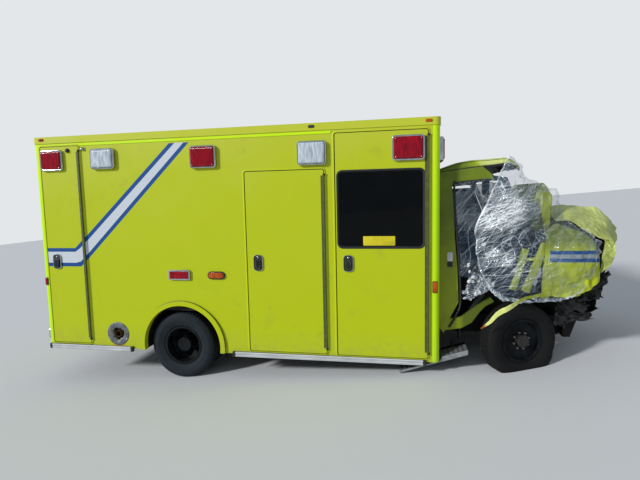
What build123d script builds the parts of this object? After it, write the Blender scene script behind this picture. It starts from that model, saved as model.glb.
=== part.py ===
from build123d import *
from math import cos, radians, sin
import os

# Box ambulance on a cutaway van chassis, crushed at the front, in millimetres.
# Body frame: X forward from the rear axle, Y left from the middle, Z up from the rear tyres' floor line.
# The whole body then tips nose down about the rear axle, because both front tyres are flat.

# Stance and running gear
tyre_radius = 372
tyre_width = 215
rim_radius = 203
rim_lip = 15
rim_width = 165
wheelbase = 3512
nose_down = 4.1
front_hub_height = 527
kingpin_offset = 860
scrub = 100
steer_at_rest = 22
dual_middle = 880
dual_spacing = 300
spindle_radius = 45
bearing_gap = 0.05
seat_gap = 0.3

# Box
half_width = 1170
box_rear = -1677
box_setback = 734
box_front = wheelbase - box_setback
box_bottom = 326
box_top = 2722
wall = 50
post = 70
post_round = 52
band_height = 74
band_proud = 7
roof_crown = 22
floor_top = 810
floor_thick = 40
bearer_bottom = 645
arch_centre = (30, 388)
arch_radius = 450
flare_width = 50
flare_proud = 26
floor_bearers = 8

# Doors: the gap all round, and the hinge barrel along the front edge
door_gap = 8
latch_gap = 10
barrel_radius = 8
pin_radius = 4
door_proud = 10
door_bevel = 20
hinge_out = door_proud + 9
ear_height = 16
ear_gap = 1

# Chassis
rail_middle = 430
rail_width = 64
rail_height = 200
rail_top = 645 - seat_gap
rail_rear = -1600
rail_front = wheelbase + 568

# Cab
cab_half = 985
cab_rear = box_front + seat_gap
cab_wall = 45

beyond = 4 * half_width

nodes = {}


def block(x0, x1, y0, y1, z0, z1):
    """Box between two corners."""
    return Pos((x0 + x1) / 2, (y0 + y1) / 2, (z0 + z1) / 2) * Box(x1 - x0, y1 - y0, z1 - z0)


def side_prism(outline, y0, y1):
    """Closed outline of (x, z) points, carried across the vehicle from y0 to y1."""
    face = make_face(Polyline([(x, y0, z) for x, z in outline], close=True))
    return extrude(face, amount=y1 - y0, dir=(0, 1, 0))


def ahead(outline):
    """Side outline whose x is counted from the front axle, as (x, z) points of the level body."""
    return [(wheelbase + x, z) for x, z in outline]


def draped(stations):
    """Straight-sided skin through cross sections; each station is its x and a ring of (y, z) points."""
    faces = [make_face(Polyline([(x, y, z) for y, z in ring], close=True)) for x, ring in stations]
    return loft(faces, ruled=True)


def end_prism(outline, x0, x1):
    """Closed outline of (y, z) points, carried along the vehicle from x0 to x1."""
    face = make_face(Polyline([(x0, y, z) for y, z in outline], close=True))
    return extrude(face, amount=x1 - x0, dir=(1, 0, 0))


def side_panel(x0, x1, z0, z1, y0, y1, corner):
    """Panel with rounded corners, seen square from the side."""
    sketch = Pos((x0 + x1) / 2, y1, (z0 + z1) / 2) * Rot(90, 0, 0) * RectangleRounded(x1 - x0, z1 - z0, corner)
    return extrude(sketch, amount=y1 - y0, dir=(0, -1, 0))


def end_panel(y0, y1, z0, z1, x0, x1, corner):
    """Panel with rounded corners, seen square from the front or the rear."""
    sketch = Pos(x0, (y0 + y1) / 2, (z0 + z1) / 2) * Rot(0, 90, 0) * RectangleRounded(z1 - z0, y1 - y0, corner)
    return extrude(sketch, amount=x1 - x0, dir=(1, 0, 0))


def across(radius, x, z, y0, y1):
    """Cylinder that lies across the vehicle."""
    return Pos(x, (y0 + y1) / 2, z) * Rot(90, 0, 0) * Cylinder(radius, y1 - y0)


def along(radius, y, z, x0, x1):
    """Cylinder that lies along the vehicle."""
    return Pos((x0 + x1) / 2, y, z) * Rot(0, 90, 0) * Cylinder(radius, x1 - x0)


def upright(radius, x, y, z0, z1):
    """Cylinder that stands up."""
    return Pos(x, y, (z0 + z1) / 2) * Cylinder(radius, z1 - z0)


def rod(radius, start, end):
    """Cylinder from one (x, y, z) point to another."""
    run = Vector(*end) - Vector(*start)
    return Plane(origin=start, z_dir=run) * Pos(0, 0, run.length / 2) * Cylinder(radius, run.length)


def other_side(shape):
    """Mirror image about the middle of the vehicle."""
    return mirror(shape, about=Plane.XZ)


def both_sides(shape):
    """The piece and its mirror image, in one node."""
    return Compound([*shape.solids(), *other_side(shape).solids()])


def pieces(*shapes):
    """Solids that share a node without touching."""
    return Compound([solid for shape in shapes for solid in shape.solids()])


def fused(first, *rest):
    """One solid out of several that run into each other."""
    whole = first
    for shape in rest:
        whole = whole + shape
    return whole


def cut(shape, *tools):
    """The shape less each tool in turn."""
    for tool in tools:
        shape = shape - tool
    return shape


def seam(**span):
    """Thin slab right across the vehicle at one x, y or z, which parts a wall into its panels."""
    sides = dict(x0=-beyond, x1=beyond, y0=-beyond, y1=beyond, z0=-beyond, z1=beyond)
    for axis, place in span.items():
        sides[axis + "0"] = place - seat_gap / 2
        sides[axis + "1"] = place + seat_gap / 2
    return block(**sides)


# Stance: the level body tips about the rear axle
stance = Pos(0, 0, tyre_radius) * Rot(0, nose_down, 0) * Pos(0, 0, -tyre_radius)


def to_floor(x, z):
    """Floor frame place of a point of the level body, as (x, z)."""
    slope = radians(nose_down)
    rise = z - tyre_radius
    return x * cos(slope) + rise * sin(slope), tyre_radius + rise * cos(slope) - x * sin(slope)


def level(name, shape):
    """Keep a piece of the level body."""
    nodes[name] = stance * shape


def grounded(name, shape):
    """Keep a piece that is already set in the floor frame."""
    nodes[name] = shape


# Doors in the box sides: name, rear edge, front edge, bottom, top
arch_x, arch_z = arch_centre
rear_locker = (box_rear + 92, box_rear + 573)
middle_locker = (arch_x + arch_radius + 340, box_front - 1132)
front_opening = (box_front - 1012, box_front - 116)
tall_top = box_top - 114
low_top = box_top - 460
right_doors = [
    ("right_rear_compartment_door", *rear_locker, box_bottom + 49, tall_top),
    ("right_middle_compartment_door", *middle_locker, box_bottom + 46, low_top),
    ("entry_door", *front_opening, box_bottom + 42, tall_top),
]
left_doors = [
    ("left_rear_compartment_door", *rear_locker, box_bottom + 49, tall_top),
    ("left_middle_compartment_door", *middle_locker, box_bottom + 46, 1462),
    ("left_front_compartment_door", *front_opening, box_bottom + 42, low_top),
]
handle_height = 1318
window = (front_opening[0] + 24, front_opening[1] - 35, 1480, 2235)
window_corner = 45


def hinge_axis(x_front):
    """Where the hinge pin of a right hand side door stands, as (x, y)."""
    return x_front + door_gap / 2, -half_width - hinge_out


def side_hinge(x_front, z0, z1):
    """Long barrel on the door and the pin with two ears on the wall, right hand side."""
    x, y = hinge_axis(x_front)
    face = -half_width - door_proud
    leaf_out = face - 3
    low = z0 + 60
    high = z1 - 60
    barrel = upright(barrel_radius, x, y, low, high)
    leaf = block(x - 27, x - 1, leaf_out, face, low, high)
    web = block(x - 6, x, y, face, low, high)
    door_part = cut(fused(barrel, leaf, web), upright(pin_radius + bearing_gap, x, y, low - 1, high + 1))
    wall_part = upright(pin_radius, x, y, low - ear_gap - 2, high + ear_gap + 2)
    for z_ear in (low - ear_gap - ear_height, high + ear_gap):
        ear = upright(barrel_radius, x, y, z_ear, z_ear + ear_height)
        strap = block(x, x + 24, leaf_out, -half_width, z_ear, z_ear + ear_height)
        wall_part = fused(wall_part, ear, strap)
    return door_part, wall_part


def paddle(x, z):
    """Paddle handle of a right hand side door: rounded plate with a raised lever."""
    face = -half_width - door_proud
    plate = side_panel(x - 48, x + 48, z - 82, z + 82, face - 8, face, 34)
    lever = side_panel(x - 24, x + 24, z - 60, z + 30, face - 20, face - 7, 18)
    return fused(plate, lever)


def side_door(x0, x1, z0, z1):
    """Right hand side door with its handle near the rear edge."""
    slab = side_panel(x0, x1, z0, z1, -half_width - door_proud, -half_width + wall - door_proud, 18)
    return fused(slab, paddle(x0 + 119, handle_height))


walls = {"right": [], "left": []}
for side, table in (("right", right_doors), ("left", left_doors)):
    for name, x0, x1, z0, z1 in table:
        door_part, wall_part = side_hinge(x1, z0, z1)
        door = fused(side_door(x0, x1, z0, z1), door_part)
        if name == "entry_door":
            hole = side_panel(*window, -half_width - door_proud - 1, -half_width + wall + 1, window_corner)
            door = door - hole
            inset = side_panel(window[0] + seat_gap, window[1] - seat_gap, window[2] + seat_gap,
                               window[3] - seat_gap, -half_width, -half_width + 6, window_corner)
            level("entry_door_glass", inset)
        walls[side].append(wall_part)
        level(name, door if side == "right" else other_side(door))


# Box side walls, cut for their doors and for the wheel arch
def door_hole(x0, x1, z0, z1):
    """Opening in a right hand wall round one door."""
    return side_panel(x0 - latch_gap, x1 + door_gap, z0 - door_gap, z1 + door_gap,
                      -half_width - door_proud - 1, -half_width + wall + 1, 24)


def door_frame(x0, x1, z0, z1):
    """Bevelled frame that stands door_proud round one door opening of a right hand wall."""
    middle = ((x0 - latch_gap + x1 + door_gap) / 2, (z0 + z1) / 2)
    wide = x1 - x0 + latch_gap + door_gap
    high = z1 - z0 + 2 * door_gap
    rings = []
    for grown, depth in ((door_bevel, 0), (6, door_proud)):
        ring = RectangleRounded(wide + 2 * grown, high + 2 * grown, 24 + grown)
        rings.append(Pos(middle[0], -half_width - depth, middle[1]) * Rot(90, 0, 0) * ring)
    return loft(rings, ruled=True) - block(-beyond, beyond, -beyond, beyond, -beyond, rub_top + seat_gap)


rub_low = 297
rub_top = 352
arch_seam = arch_z + arch_radius - 60
arch_hole = fused(across(arch_radius, arch_x, arch_z, -half_width - 1, -half_width + wall + 1),
                  block(arch_x - arch_radius, arch_x + arch_radius, -half_width - 1, -half_width + wall + 1,
                        box_bottom - 1, arch_z))
outlet = (arch_x - 788, arch_z + 106)
outlet_hole = across(80, *outlet, -half_width - 1, -half_width + wall + 1)
for side, table in (("right", right_doors), ("left", left_doors)):
    plate = block(box_rear + post, box_front - post, -half_width, -half_width + wall, box_bottom,
                  box_top - band_height)
    plate = fused(plate, *[door_frame(*row[1:]) for row in table])
    plate = cut(plate, arch_hole, *[door_hole(*row[1:]) for row in table])
    if side == "right":
        plate = plate - outlet_hole
    for name, x0, x1, z0, z1 in table:
        plate = cut(plate, seam(x=x0 - latch_gap), seam(x=x1 + door_gap))
    belt = seam(z=arch_seam) & block(rear_locker[1] + door_gap, middle_locker[0] - latch_gap, -beyond, beyond,
                                     -beyond, beyond)
    plate = fused(plate - belt, *walls[side])
    level("box_side_" + side, plate if side == "right" else other_side(plate))

# Wheel arch flares
flare = cut(across(arch_radius + flare_width, arch_x, arch_z, -half_width - flare_proud, -half_width),
            across(arch_radius, arch_x, arch_z, -half_width - flare_proud - 1, -half_width + 1),
            block(-beyond, beyond, -beyond, beyond, -beyond, box_bottom))
level("wheel_arch_flares", both_sides(flare))

# Corner posts: rounded extrusions, full height
post_outer = fillet((Pos(-post / 2, post / 2) * Rectangle(post, post)).vertices().sort_by(Axis.X)[:2]
                    .sort_by(Axis.Y)[1], post_round)
post_section = post_outer - Pos(-(post - wall) / 2, (post - wall) / 2) * Rectangle(post - wall, post - wall)
post_bar = extrude(post_section, amount=box_top - band_height - box_bottom)
front_left = Pos(box_front - post, half_width - post, box_bottom) * Rot(0, 0, -90) * post_bar
rear_left = mirror(front_left, about=Plane.YZ.offset((box_front + box_rear) / 2))
posts = pieces(front_left, rear_left, other_side(front_left), other_side(rear_left))
level("corner_posts", posts)

# Roof: crowned top over a rim, with the edge band standing proud of the walls
roof_half = half_width + band_proud
roof_outline = extrude(Pos((box_rear + box_front) / 2, 0, box_top - band_height) * RectangleRounded(
    box_front - box_rear + 2 * band_proud, 2 * roof_half, post_round), amount=band_height + roof_crown)
crown = make_face([
    Line((box_rear - 50, -roof_half - 1, box_top - band_height), (box_rear - 50, roof_half + 1, box_top - band_height)),
    Line((box_rear - 50, roof_half + 1, box_top - band_height), (box_rear - 50, roof_half + 1, box_top)),
    ThreePointArc((box_rear - 50, roof_half + 1, box_top), (box_rear - 50, 0, box_top + roof_crown),
                  (box_rear - 50, -roof_half - 1, box_top)),
    Line((box_rear - 50, -roof_half - 1, box_top), (box_rear - 50, -roof_half - 1, box_top - band_height)),
])
roof = roof_outline & extrude(crown, amount=box_front - box_rear + 100, dir=(1, 0, 0))
roof = roof - block(box_rear + wall, box_front - wall, -half_width + wall, half_width - wall,
                    box_top - band_height - 1, box_top - wall + 14)
level("box_roof", roof)

# Box floor on its cross bearers
floor_slab = block(box_rear + wall, box_front - wall, -half_width + wall, half_width - wall,
                   floor_top - floor_thick, floor_top)
bearer_step = (box_front - box_rear - 400) / (floor_bearers - 1)
bearers = [block(x, x + 90, -rail_middle - 130, rail_middle + 130, bearer_bottom, floor_top - floor_thick - seat_gap)
           for x in [box_rear + 120 + bearer_step * row for row in range(floor_bearers)]]
level("box_floor", pieces(floor_slab, *bearers))

# Front wall with the walk-through and the skirt returns
wall_inner = half_width - post
front_wall = block(box_front - wall, box_front, -wall_inner, wall_inner, floor_top - floor_thick,
                   box_top - band_height)
walk_through = end_panel(-330, 330, floor_top + 40, 2010, box_front - wall - 1, box_front + 1, 60)
skirts = [block(box_front - wall, box_front, *span, box_bottom, floor_top - floor_thick + 1)
          for span in ((-wall_inner, -720), (720, wall_inner))]
level("box_front_wall", cut(fused(front_wall, *skirts), walk_through, seam(y=-330), seam(y=330),
                            seam(z=floor_top - floor_thick)))

# Rear frame round the two rear doors
rear_door_half = 704
rear_door_low = floor_top - 4
rear_door_high = 2440
rear_frame = block(box_rear, box_rear + wall, -wall_inner, wall_inner, 520, box_top - band_height)
rear_hole = end_panel(-rear_door_half - door_gap, rear_door_half + door_gap, rear_door_low - door_gap,
                      rear_door_high + door_gap, box_rear - 1, box_rear + wall + 1, 24)
rear_skirts = [block(box_rear, box_rear + wall, *span, box_bottom, 521)
               for span in ((-wall_inner, -640), (640, wall_inner))]
rear_frame = cut(fused(rear_frame, *rear_skirts), rear_hole, seam(y=-rear_door_half - door_gap),
                 seam(y=rear_door_half + door_gap), seam(z=520))

# Right rear door: hinge along its outer edge, handle and window
rear_hinge = (box_rear - hinge_out, -rear_door_half - door_gap / 2)
hinge_x, hinge_y = rear_hinge
hinge_low = rear_door_low + 80
hinge_high = rear_door_high - 80
rear_barrel = fused(
    upright(barrel_radius, hinge_x, hinge_y, hinge_low, hinge_high),
    block(box_rear - 4, box_rear, hinge_y + 1, hinge_y + 34, hinge_low, hinge_high),
    block(hinge_x, box_rear, hinge_y, hinge_y + 6, hinge_low, hinge_high),
) - upright(pin_radius + bearing_gap, hinge_x, hinge_y, hinge_low - 1, hinge_high + 1)
rear_pin = upright(pin_radius, hinge_x, hinge_y, hinge_low - ear_gap - 2, hinge_high + ear_gap + 2)
for z_ear in (hinge_low - ear_gap - ear_height, hinge_high + ear_gap):
    rear_pin = fused(rear_pin, upright(barrel_radius, hinge_x, hinge_y, z_ear, z_ear + ear_height),
                     block(box_rear - 4, box_rear, hinge_y - 26, hinge_y, z_ear, z_ear + ear_height),
                     block(hinge_x, box_rear, hinge_y - 6, hinge_y, z_ear, z_ear + ear_height))
rear_frame = fused(rear_frame, rear_pin, other_side(rear_pin))
level("box_rear_frame", rear_frame)

rear_window = (-590, -130, 1620, 2180)
rear_slab = end_panel(-rear_door_half, -door_gap / 2, rear_door_low, rear_door_high, box_rear, box_rear + wall, 18)
rear_slab = rear_slab - end_panel(*rear_window, box_rear - 1, box_rear + wall + 1, window_corner)
rear_handle = end_panel(-150, -60, 1260, 1400, box_rear - 24, box_rear, 30)
rear_door = fused(rear_slab, rear_barrel, rear_handle)
rear_pane = end_panel(rear_window[0] + seat_gap, rear_window[1] - seat_gap, rear_window[2] + seat_gap,
                      rear_window[3] - seat_gap, box_rear + 12, box_rear + 18, window_corner)
level("rear_door_right", rear_door)
level("rear_door_right_glass", rear_pane)
level("rear_door_left", other_side(rear_door))
level("rear_door_left_glass", other_side(rear_pane))

# Rub rails, ribbed along their length
rub_rows = [(box_rear + 62, arch_x - 630), (arch_x + 616, box_front - 160)]
rub_steps = [(0, rub_low), (0, rub_top), (20, rub_top), (28, rub_top - 7), (28, rub_top - 19), (22, rub_top - 22),
             (22, rub_low + 22), (28, rub_low + 19), (28, rub_low + 7), (20, rub_low)]
rub_section = [(-half_width - out, z) for out, z in rub_steps]
level("rub_rails", both_sides(pieces(*[end_prism(rub_section, *row) for row in rub_rows])))

# Upper lamps on the walls: rear edge, front edge, bottom, top
lamp_deep = 52
lamp_corner = 34


def lamp(x0, x1, z0, z1, deep, face=-half_width):
    """Rounded lamp housing with its lens standing a little further out, right hand side."""
    body = side_panel(x0, x1, z0, z1, face - deep * 0.7, face, lamp_corner)
    lens = side_panel(x0 + 16, x1 - 16, z0 + 16, z1 - 16, face - deep, face - deep * 0.7 + 1, lamp_corner - 10)
    return fused(body, lens)


red_rows = [(arch_x + 197, arch_x + 489, 2314, 2552)]
clear_rows = [(arch_x - 976, arch_x - 686, 2342, 2569), (box_front - 1394, box_front - 1093, 2305, 2548)]
front_lamp_rows = [(-1080, -790), (-520, -230)]
red_lamps = both_sides(pieces(*[lamp(*row, lamp_deep) for row in red_rows]))
front_lamps = [end_panel(y0, y1, 2310, 2550, box_front, box_front + lamp_deep, lamp_corner)
               for y0, y1 in front_lamp_rows]
tail_rows = [(-1060, -800, 2320, 2560), (-1050, -830, 960, 1120)]
tail_lamps = [end_panel(y0, y1, z0, z1, box_rear - lamp_deep, box_rear, lamp_corner)
              for y0, y1, z0, z1 in tail_rows]
door_face = -half_width - door_proud
rear_door_lamp = lamp(rear_locker[0] + 9, rear_locker[1] - 189, 2341, 2573, lamp_deep - door_proud, door_face)
level("red_lamps", pieces(red_lamps, both_sides(pieces(*front_lamps, *tail_lamps))))
level("clear_lamps", both_sides(pieces(*[lamp(*row, lamp_deep) for row in clear_rows])))
level("entry_door_lamp", lamp(box_front - 453, box_front - 143, 2319, 2563, lamp_deep - door_proud, door_face))
level("left_rear_door_lamp", other_side(rear_door_lamp))
level("right_rear_door_lamp", rear_door_lamp)

# Small side markers: rear edge, front edge, bottom, top, depth, corner
marker_rows = [
    (arch_x - 120, arch_x + 133, 1123, 1236, 30, 20),
    (arch_x + 327, arch_x + 539, 1150, 1210, 22, 28),
    (box_front - 69, box_front - 37, 1030, 1140, 12, 14),
    (box_rear + 22, box_rear + 58, 1040, 1130, 12, 14),
]
markers = [side_panel(x0, x1, z0, z1, -half_width - deep, -half_width, corner)
           for x0, x1, z0, z1, deep, corner in marker_rows]
level("side_markers", both_sides(pieces(*markers)))

# Exhaust: silencer, pipe over the axle and the outlet plate on the right wall
pipe_radius = 38.1
pipe_bore = 36
outlet_x, outlet_z = outlet
pipe_tip = -half_width - 12
pipe_start = (box_front - 1278, -330, 545)
pipe_path = FilletPolyline([
    pipe_start, (outlet_x + 328, -330, 545), (outlet_x, -300, 388), (outlet_x, -640, 388),
    (outlet_x, -800, outlet_z), (outlet_x, pipe_tip, outlet_z)], radius=80)
pipe_section = Plane(origin=pipe_start, z_dir=(-1, 0, 0)) * Circle(pipe_radius)
pipe = sweep(pipe_section, path=pipe_path)
silencer = along(92, -330, 545, pipe_start[0] - 800, pipe_start[0] - 100)
strap_x = box_rear + 120 + 5 * bearer_step
strap = block(strap_x + 20, strap_x + 50, -345, -315, 570, bearer_bottom - seat_gap)
pipe = fused(pipe, silencer, strap) - across(pipe_bore, outlet_x, outlet_z, pipe_tip - 1, pipe_tip + 120)
plate_hole = across(60, outlet_x, outlet_z, -half_width - 6, -half_width + 1)
outlet_plate = across(134, outlet_x, outlet_z, -half_width - 4, -half_width) - plate_hole
level("exhaust_pipe", pipe)
level("exhaust_outlet_plate", outlet_plate)

# Rear bumper bar under the doors, with a tow pin hole down through it behind each rail
bumper_low = 380
bumper_high = 500
bumper_deep = 54
bumper = end_panel(-wall_inner, wall_inner, bumper_low, bumper_high, box_rear - bumper_deep, box_rear - seat_gap, 20)
tow_hole_radius = 13
tow_hole_x = box_rear - bumper_deep / 2
tow_holes = [upright(tow_hole_radius, tow_hole_x, y, bumper_low - 1, bumper_high + 1) for y in (-rail_middle, rail_middle)]
level("rear_bumper", cut(bumper, *tow_holes))

# Frame: two channel rails with cross members
rail_bottom = rail_top - rail_height
web = 9
channel = end_prism([
    (-rail_middle - rail_width / 2, rail_bottom), (-rail_middle + rail_width / 2, rail_bottom),
    (-rail_middle + rail_width / 2, rail_bottom + web), (-rail_middle - rail_width / 2 + web, rail_bottom + web),
    (-rail_middle - rail_width / 2 + web, rail_top - web), (-rail_middle + rail_width / 2, rail_top - web),
    (-rail_middle + rail_width / 2, rail_top), (-rail_middle - rail_width / 2, rail_top),
], rail_rear, rail_front)
cross_rows = [rail_rear + 40, rail_rear + 540, arch_x + 370, box_front - 1128, box_front - 278, wheelbase - 112,
              wheelbase + 388]
member_top = rail_top - web - seat_gap
member_half = rail_middle + rail_width / 2 - web - seat_gap
members = [block(x, x + 70, -member_half, member_half, member_top - 50, member_top) for x in cross_rows]
level("frame_rails", pieces(channel, other_side(channel), *members))

# Rear axle with its differential and spindles, and the propshaft
drum_inner = 640
axle_end = dual_middle + dual_spacing / 2 + 40
case = [(0, -150), (95, -128), (152, -60), (152, 60), (95, 128), (0, 150)]
axle = fused(across(50, 0, tyre_radius, -drum_inner + 2, drum_inner - 2),
             across(spindle_radius, 0, tyre_radius, -axle_end, axle_end),
             Pos(0, 0, tyre_radius) * revolve(make_face(Polyline([(r, a, 0) for r, a in case], close=True)),
                                              axis=Axis.Y),
             along(60, 0, tyre_radius, 100, 260))
gearbox_z = 440
gearbox_tail = box_front - 138
shaft_radius = 38
shaft_line = ((290, 0, tyre_radius), (gearbox_tail + 60, 0, gearbox_z))
shaft = fused(along(50, 0, tyre_radius, 260 + seat_gap, 300), rod(shaft_radius, *shaft_line))
level("rear_axle", pieces(axle, shaft))

# Leaf springs with shackles and clamps
spring_y = 520
leaf_rows = [(0, 640), (1, 560), (2, 440), (3, 300)]
leaves = [block(-half, half, -spring_y - 37, -spring_y + 37, 434 - 14 * (row + 1), 434 - 14 * row)
          for row, half in leaf_rows]
eyes = [across(22, x, 427, -spring_y - 37, -spring_y + 37) for x in (-640, 640)]
spring = fused(*leaves, *eyes)
hangers = [block(x - 30, x + 30, -spring_y - 48, -spring_y + 48 + 10, 427, 600) for x in (-640, 640)]
spring = fused(spring, *hangers) - across(50 + seat_gap, 0, tyre_radius, -beyond, beyond)
spring = spring - block(-beyond, beyond, -rail_middle - rail_width / 2 - seat_gap, beyond, 0, beyond)
level("rear_springs", both_sides(spring))


# Wheels: a tyre and a rim are turned about the vehicle's cross axis
disc_half = 7
flat_radius = 112
hand_hole_radius = 20
hand_hole_circle = 154


def tyre(y):
    """Tyre of section tyre_width round (0, y, tyre_radius)."""
    half = tyre_width / 2
    bead = rim_radius + seat_gap
    seat = rim_width / 2 - 14
    wall_side = [
        (bead, seat), (bead + rim_lip + 1, seat), (bead + 32, half - 16), (bead + 80, half),
        (tyre_radius - 26, half - 8), (tyre_radius, half - 32)]
    section = [(r, -a) for r, a in wall_side] + [(r, a) for r, a in reversed(wall_side)]
    face = make_face(Polyline([(r, a, 0) for r, a in section], close=True))
    return Pos(0, y, tyre_radius) * revolve(face, axis=Axis.Y)


def rim(y, dish):
    """Steel rim round (0, y, tyre_radius); dish is the disc's place along Y from the middle."""
    half = rim_width / 2
    inner = rim_radius - 10
    section = [
        (rim_radius + rim_lip, -half), (rim_radius + rim_lip, -half + 6), (rim_radius, -half + 12),
        (rim_radius, half - 12), (rim_radius + rim_lip, half - 6), (rim_radius + rim_lip, half),
        (inner, half), (inner, -half)]
    barrel = revolve(make_face(Polyline([(r, a, 0) for r, a in section], close=True)), axis=Axis.Y)
    weld = min(max(dish, -half + 30), half - 30)
    face = dish + disc_half if dish > weld else dish - disc_half
    back = dish - disc_half if dish > weld else dish + disc_half
    bell = [(0, back), (0, face), (flat_radius + 6, face), (inner + 1, weld + disc_half),
            (inner + 1, weld - disc_half), (flat_radius - 6, back)]
    if dish <= weld:
        bell[3], bell[4] = bell[4], bell[3]
    disc = revolve(make_face(Polyline([(r, a, 0) for r, a in bell], close=True)), axis=Axis.Y)
    return Pos(0, y, tyre_radius) * fused(barrel, disc)


def rear_wheels():
    """Right twin wheels as tyres and rims, with the hub that carries both discs."""
    outer = -dual_middle - dual_spacing / 2
    inner = -dual_middle + dual_spacing / 2
    reach = dual_spacing / 2 - disc_half
    tyres = pieces(tyre(outer), tyre(inner))
    rims = fused(rim(outer, reach), rim(inner, -reach))
    drum = fused(across(165, 0, tyre_radius, -dual_middle + 60, -drum_inner - 4),
                 across(105, 0, tyre_radius, -dual_middle, -dual_middle + 61))
    nose = across(78, 0, tyre_radius, -axle_end - 14, -dual_middle)
    rims = fused(rims, drum, nose)
    bore = across(spindle_radius + bearing_gap, 0, tyre_radius, -axle_end - 1, 0)
    hand_holes = [Pos(0, -dual_middle, tyre_radius) * Rot(0, turn, 0)
                  * across(hand_hole_radius, hand_hole_circle, 0, -dual_spacing / 2, 59) for turn in range(0, 360, 45)]
    return tyres, cut(rims, bore, *hand_holes)


rear_tyres, rear_rims = rear_wheels()
level("rear_tyres_right", rear_tyres)
level("rear_rims_right", rear_rims)
level("rear_tyres_left", other_side(rear_tyres))
level("rear_rims_left", other_side(rear_rims))

# Front wheels, in the floor frame: the kingpin stands square to the floor
pin_x, hub_z = to_floor(wheelbase, front_hub_height)
kingpin_radius = 16
boss_radius = 34
boss_half = 60
ear_thick = 26
bulge = 22


def front_tyre():
    """Flat tyre, straight ahead, about a kingpin at the origin: the floor cuts it and its walls bulge."""
    round_tyre = Pos(0, -scrub, hub_z - tyre_radius) * tyre(0)
    spread = side_prism([(-250, 0), (250, 0), (214, 62), (-214, 62)], -scrub - tyre_width / 2 - bulge,
                        -scrub + tyre_width / 2 + bulge)
    spread = spread - across(rim_radius + rim_lip + 4, 0, hub_z, -beyond, beyond)
    whole = fused(round_tyre, spread)
    return whole & block(-beyond, beyond, -beyond, beyond, 0, beyond)


def front_rim():
    """Front rim, straight ahead, about a kingpin at the origin."""
    disc_place = -40
    body = Pos(0, -scrub, hub_z - tyre_radius) * rim(0, disc_place)
    nose = across(62, 0, hub_z, -scrub - 96, -scrub + disc_place)
    return fused(body, nose)


def knuckle():
    """Forked knuckle about a kingpin at the origin, with its spindle and brake disc."""
    ears = [block(-32, 32, -64, 32, z0, z0 + ear_thick)
            for z0 in (hub_z - boss_half - ear_thick - 1, hub_z + boss_half + 1)]
    back = block(-45, 45, -64, -boss_radius - 8, hub_z - boss_half - ear_thick - 1,
                 hub_z + boss_half + ear_thick + 1)
    pin = upright(kingpin_radius, 0, 0, hub_z - boss_half - 3, hub_z + boss_half + 3)
    disc = across(150, 0, hub_z, -scrub + 30, -scrub + 42)
    spindle = across(36, 0, hub_z, -scrub - 32, -60)
    return fused(back, *ears, pin, disc, spindle)


def steered(shape):
    """Right hand front piece turned to where the wheel stands, at its kingpin."""
    return Pos(pin_x, -kingpin_offset, 0) * Rot(0, 0, steer_at_rest) * shape


def steered_left(shape):
    """The same piece on the left, turned the same way."""
    return Pos(pin_x, kingpin_offset, 0) * Rot(0, 0, steer_at_rest) * other_side(shape)


rim_shape = front_rim() - across(36 + seat_gap, 0, hub_z, -scrub - 33, 0)
rim_shape = rim_shape - across(150 + 3, 0, hub_z, -scrub + 27, 0)
for side, turn in (("right", steered), ("left", steered_left)):
    grounded("front_tyre_" + side, turn(front_tyre()))
    grounded("front_rim_" + side, turn(rim_shape))
    grounded("front_knuckle_" + side, turn(knuckle()))

# Front axle beam under the rails, with a kingpin boss at each end that stands square to the floor
boss = upright(boss_radius, pin_x, -kingpin_offset, hub_z - boss_half, hub_z + boss_half)
beam_top = rail_bottom - seat_gap
beam_line = [(-kingpin_offset, front_hub_height - 38), (-kingpin_offset, front_hub_height + 38),
             (-kingpin_offset + 110, front_hub_height + 26), (-620, beam_top), (10, beam_top), (10, beam_top - 62),
             (-650, beam_top - 62), (-kingpin_offset + 70, front_hub_height - 38)]
beam = end_prism(beam_line, wheelbase - 32, wheelbase + 32)
kingpin_hole = upright(kingpin_radius + bearing_gap, pin_x, -kingpin_offset, 0, beyond)
ear_slots = [upright(96, pin_x, -kingpin_offset, z0, z0 + ear_thick + 12)
             for z0 in (hub_z - boss_half - ear_thick - 12, hub_z + boss_half)]
beam = cut(fused(boss, stance * beam), kingpin_hole, *ear_slots)
grounded("front_axle_beam", fused(beam, other_side(beam)))

# Engine block, gearbox and sump
engine_half = 270
engine_top = 1150
block_rear = wheelbase - 272
block_front = wheelbase + 348
engine = fused(block(block_rear, block_front, -engine_half, engine_half, member_top + seat_gap, engine_top),
               block(block_rear - 340, block_rear + 20, -170, 170, gearbox_z - 60, 980),
               along(75, 0, gearbox_z + 20, gearbox_tail, block_rear - 339))
level("engine", engine - rod(shaft_radius + seat_gap, *shaft_line))

# Fuel tank between the rails behind the axle
tank_half = rail_middle - rail_width / 2 - seat_gap
tank = block(rail_rear + 120, rail_rear + 740, -tank_half, tank_half, 330, 560)
level("fuel_tank", fillet(tank.edges().filter_by(Axis.X), 50))

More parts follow.
